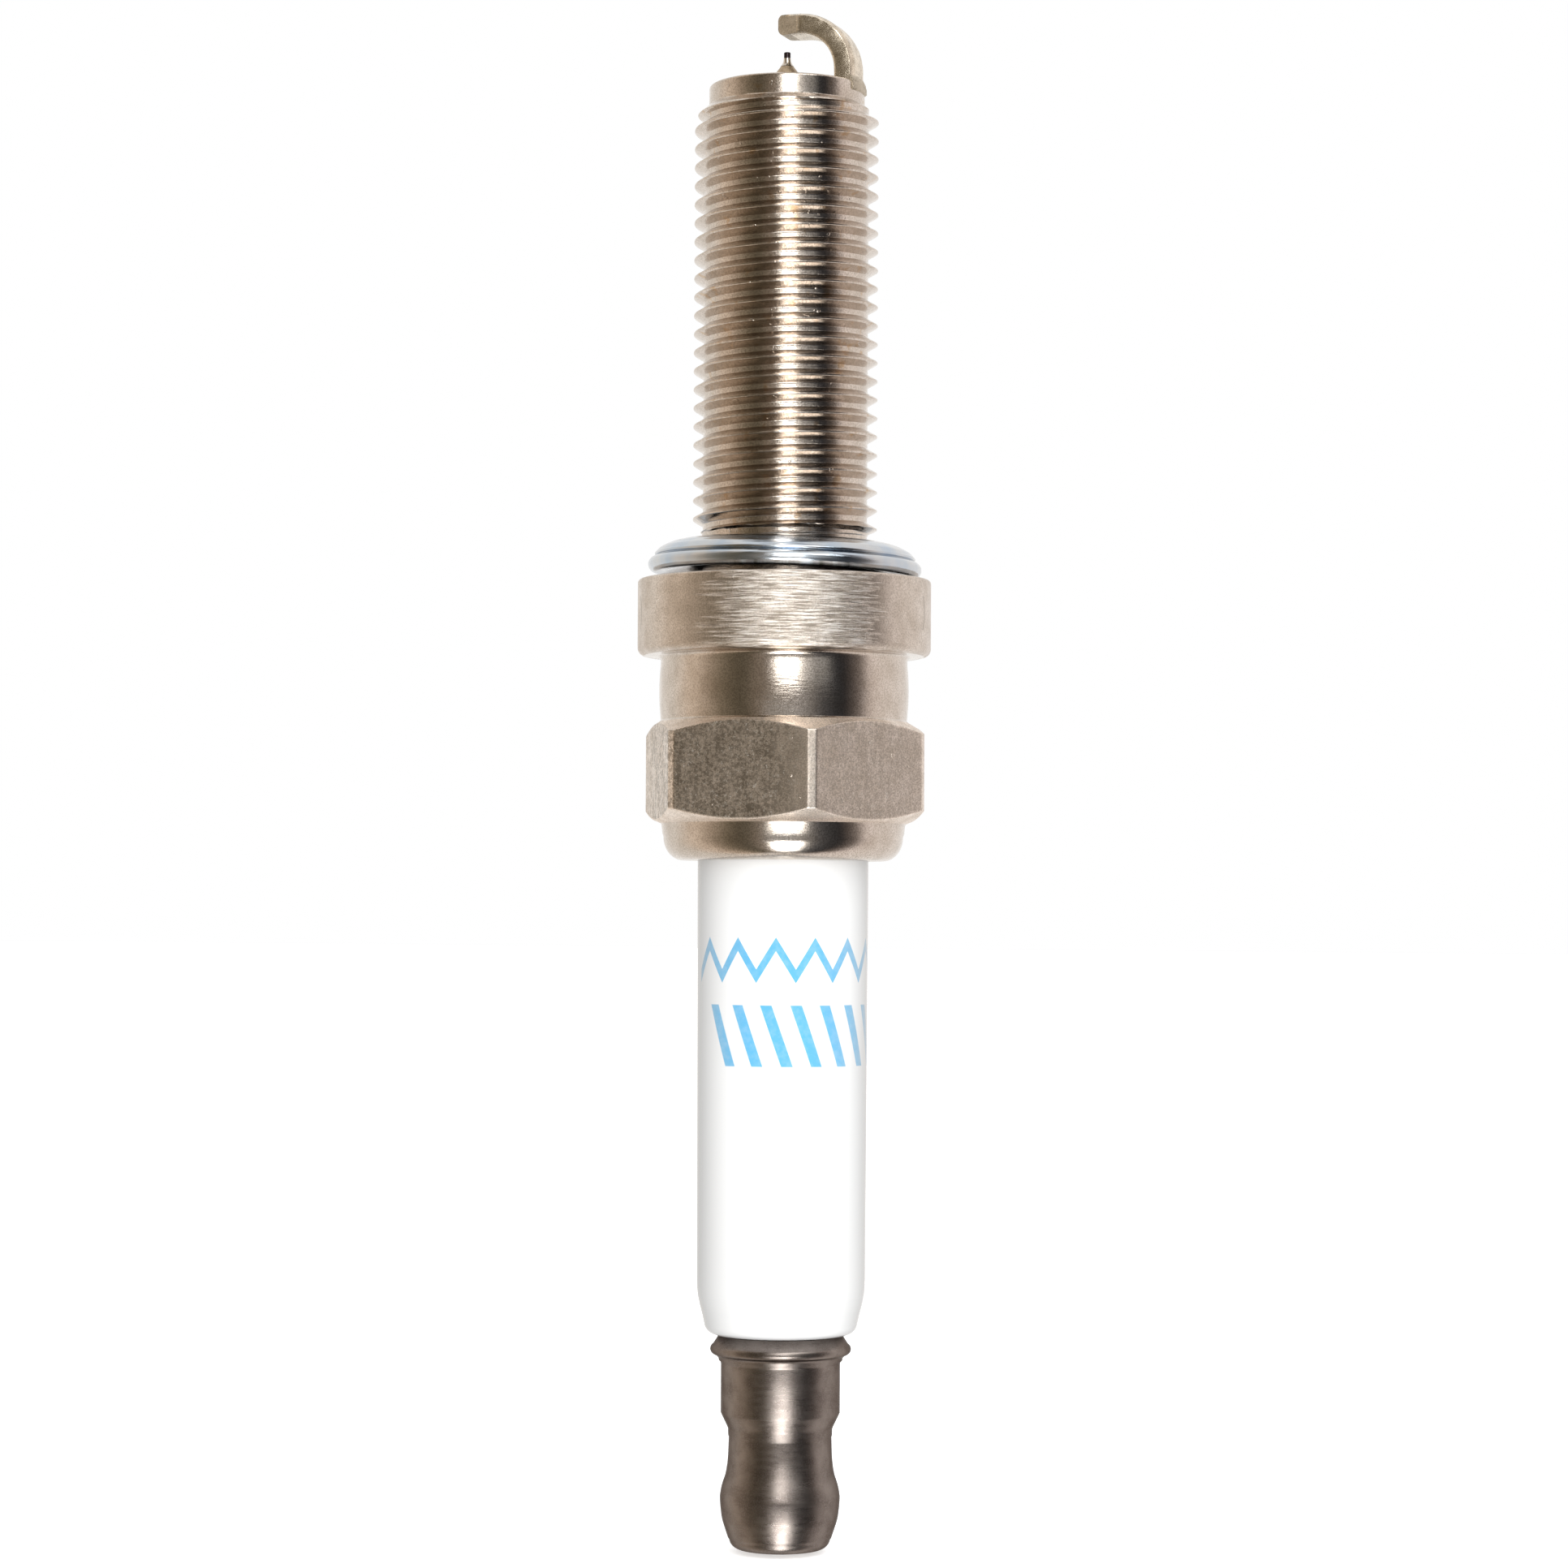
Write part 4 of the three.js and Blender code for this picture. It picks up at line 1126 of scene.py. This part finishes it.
def hidden_pieces():
    low, high = RESISTOR_LOW - FIT, RESISTOR_HIGH + FIT
    socket, mouth = STEM_FOOT_R + FIT, STEM_END - 2.25
    rear = [(0, low), (COLUMN_R, low), (COLUMN_R, mouth), (socket, mouth)]
    rear += [(socket, STEM_END + FIT), (0, STEM_END + FIT)]
    hidden("rear_glass_seal", rear, SEAL_GLASS)

    column = [(0, RESISTOR_LOW), (COLUMN_R, RESISTOR_LOW)]
    column += [(COLUMN_R, RESISTOR_HIGH), (0, RESISTOR_HIGH)]
    hidden("resistor", column, RESISTOR_GLASS)

    shoulder = HEAD_HIGH - 0.2
    front = [(0, high), (COLUMN_R, high), (COLUMN_R, shoulder), (HEAD_R + FIT, shoulder)]
    front += [(HEAD_R + FIT, HEAD_LOW - FIT), (0, HEAD_LOW - FIT)]
    hidden("front_glass_seal", front, SEAL_GLASS)

    for node, z in (("lower_wire_ring", LOWER_RING_Z), ("upper_wire_ring", UPPER_RING_Z)):
        ring = arc(RING_MIDDLE_R, z, RING_WIRE_R, 0, 345, 23)
        hidden(node, ring, PACKING_METAL)

    inner, outer = TRUNK_ROOT_R + FIT, REAR_BORE_R - FIT
    bottom, top = UPPER_RING_Z + RING_WIRE_R + FIT, LOWER_RING_Z - RING_WIRE_R - FIT
    talc = [(inner, bottom), (outer, bottom), (outer, top), (inner, top)]
    hidden("talc_packing", talc, TALC)

    slope = LEDGE_DROP / (BODY_BORE_R - LEDGE_R)
    inner, outer = LEDGE_R + 0.05, BODY_BORE_R - 0.12
    ledge = [LEDGE_Z - (r - LEDGE_R) * slope for r in (inner, outer)]
    over, under = 0.05, 0.27  # how far the washer's two faces lie from the ledge
    washer = [(inner, ledge[0] - over), (outer, ledge[1] - over)]
    washer += [(outer, ledge[1] - under), (inner, ledge[0] - under)]
    hidden("seat_packing", washer, PACKING_METAL)


hidden_pieces()

# ---- studio ----

BACKGROUND = (1.0, 1.0, 1.0)
# Light from straight above and below: the elevations where it begins and is full, and its colour
CAPS = (
    (60, 72, (1.0, 0.98, 0.95)),
    (-72, -84, (0.85, 0.82, 0.78)),
)
FLOOR_GAP = 0.0002  # metres, as is the floor's half side
FLOOR_HALF = 3.0
FLOOR_COLOUR, FLOOR_GLOW = (0.9, 0.9, 0.9), (1, 1, 1)
# Diffuse light is a plain slope, a little brighter from the right and from the front.
FILL_MIDDLE, FILL_FRONT, FILL_RIGHT = 0.89, 0.08, 0.16
# Light from all round the plug: degrees to the right of the camera and colour
SURROUND = (
    (-180, (1.0, 0.98, 0.955)),
    (-125, (0.95, 0.91, 0.85)),
    (-100, (0.86, 0.74, 0.62)),
    (-88, (0.78, 0.66, 0.54)),
    (-76, (0.5, 0.41, 0.32)),
    (-60, (0.26, 0.215, 0.155)),
    (-45, (0.135, 0.113, 0.08)),
    (-35, (0.15, 0.128, 0.093)),
    (-24, (0.26, 0.215, 0.17)),
    (-10, (0.36, 0.32, 0.28)),
    (10, (0.36, 0.33, 0.31)),
    (24, (0.27, 0.26, 0.25)),
    (36, (0.1, 0.1, 0.105)),
    (47, (0.055, 0.056, 0.06)),
    (58, (0.03, 0.03, 0.033)),
    (74, (0.2, 0.17, 0.155)),
    (88, (0.9, 0.82, 0.78)),
    (106, (1.0, 0.94, 0.9)),
    (180, (1.0, 0.98, 0.955)),
)
SOFTBOXES = (
    # middle azimuth, half width, softness, lowest and highest elevation, strength
    (29.0, 30.0, 6.0, 40.0, 62.0, 3.2),
    (33.0, 9.0, 5.0, 5.0, 38.0, 0.42),
    (17.0, 8.0, 3.0, 5.0, 38.0, 0.95),
    (3.0, 10.0, 3.0, 5.5, 60.0, 5.0),
    (1.0, 17.0, 9.0, -27.0, -5.5, 0.52),
    (4.0, 15.0, 5.0, -70.0, -24.0, 8.0),
)


def make_world():
    """The studio: soft lights seen in reflections, an even fill and a white background."""
    world = bpy.data.worlds.new("studio")
    bpy.context.scene.world = world
    world.use_nodes = True
    s = Shader(world.node_tree)
    direction = s.node("ShaderNodeTexCoord").outputs["Generated"]
    inputs = {"Vector": direction, "Angle": -VIEW_AZIMUTH}
    turned_back = s.node("ShaderNodeVectorRotate", inputs, rotation_type="Z_AXIS").outputs[0]
    split = s.node("ShaderNodeSeparateXYZ", {0: turned_back})
    x, y, z = split.outputs
    azimuth = s.times(s.math("ARCTAN2", x, s.times(y, -1)), 180 / math.pi)
    elevation = s.times(s.math("ARCSINE", z), 180 / math.pi)
    stops = [((angle + 180) / 360, colour) for angle, colour in SURROUND]
    light = s.ramp(s.span(azimuth, -180, 180), stops)
    for middle, half, soft, lowest, highest, strength in SOFTBOXES:
        away = s.size_of(s.minus(azimuth, middle))
        across = s.span(away, half - soft, half + soft, 1, 0, smooth=True)
        over = s.span(elevation, lowest - 1, lowest + 1, 0, 1, smooth=True)
        under = s.span(elevation, highest - 2, highest + 2, 1, 0, smooth=True)
        inside = s.times(across, s.times(over, under))
        light = s.mix(inside, light, (strength, strength, strength * 0.98))
    for begins, full, colour in CAPS:
        light = s.mix(s.span(elevation, begins, full, 0, 1, smooth=True), light, colour)
    rays = s.node("ShaderNodeLightPath").outputs
    slope = s.plus(s.times(x, FILL_RIGHT), s.times(y, -FILL_FRONT))
    fill = s.math("MAXIMUM", s.plus(slope, FILL_MIDDLE), 0.0)
    light = s.mix(rays["Is Diffuse Ray"], light, fill)
    shown = s.mix(rays["Is Camera Ray"], light, BACKGROUND)
    background = s.node("ShaderNodeBackground", {"Color": shown, "Strength": 1.0})
    output = s.node("ShaderNodeOutputWorld")
    s.tree.links.new(background.outputs[0], output.inputs[0])


def make_floor():
    """A plain pale floor just under the terminal."""
    height = CAD_BOX[0][2] - FLOOR_GAP
    square = ((-1, -1), (1, -1), (1, 1), (-1, 1))
    corners = [(x * FLOOR_HALF, y * FLOOR_HALF, height) for x, y in square]
    mesh = bpy.data.meshes.new("floor")
    mesh.from_pydata(corners, [], [(0, 1, 2, 3)])
    floor = bpy.data.objects.new("floor", mesh)
    bpy.context.collection.objects.link(floor)
    looks = {"Base_Color": FLOOR_COLOUR, "Roughness": 0.9, "Emission_Color": FLOOR_GLOW}
    mesh.materials.append(material("pale_floor", **looks, Emission_Strength=0.5))
    floor.visible_glossy = False
    floor.visible_diffuse = False
    floor.visible_shadow = False


make_world()
make_floor()
bpy.context.scene.view_settings.view_transform = "Standard"
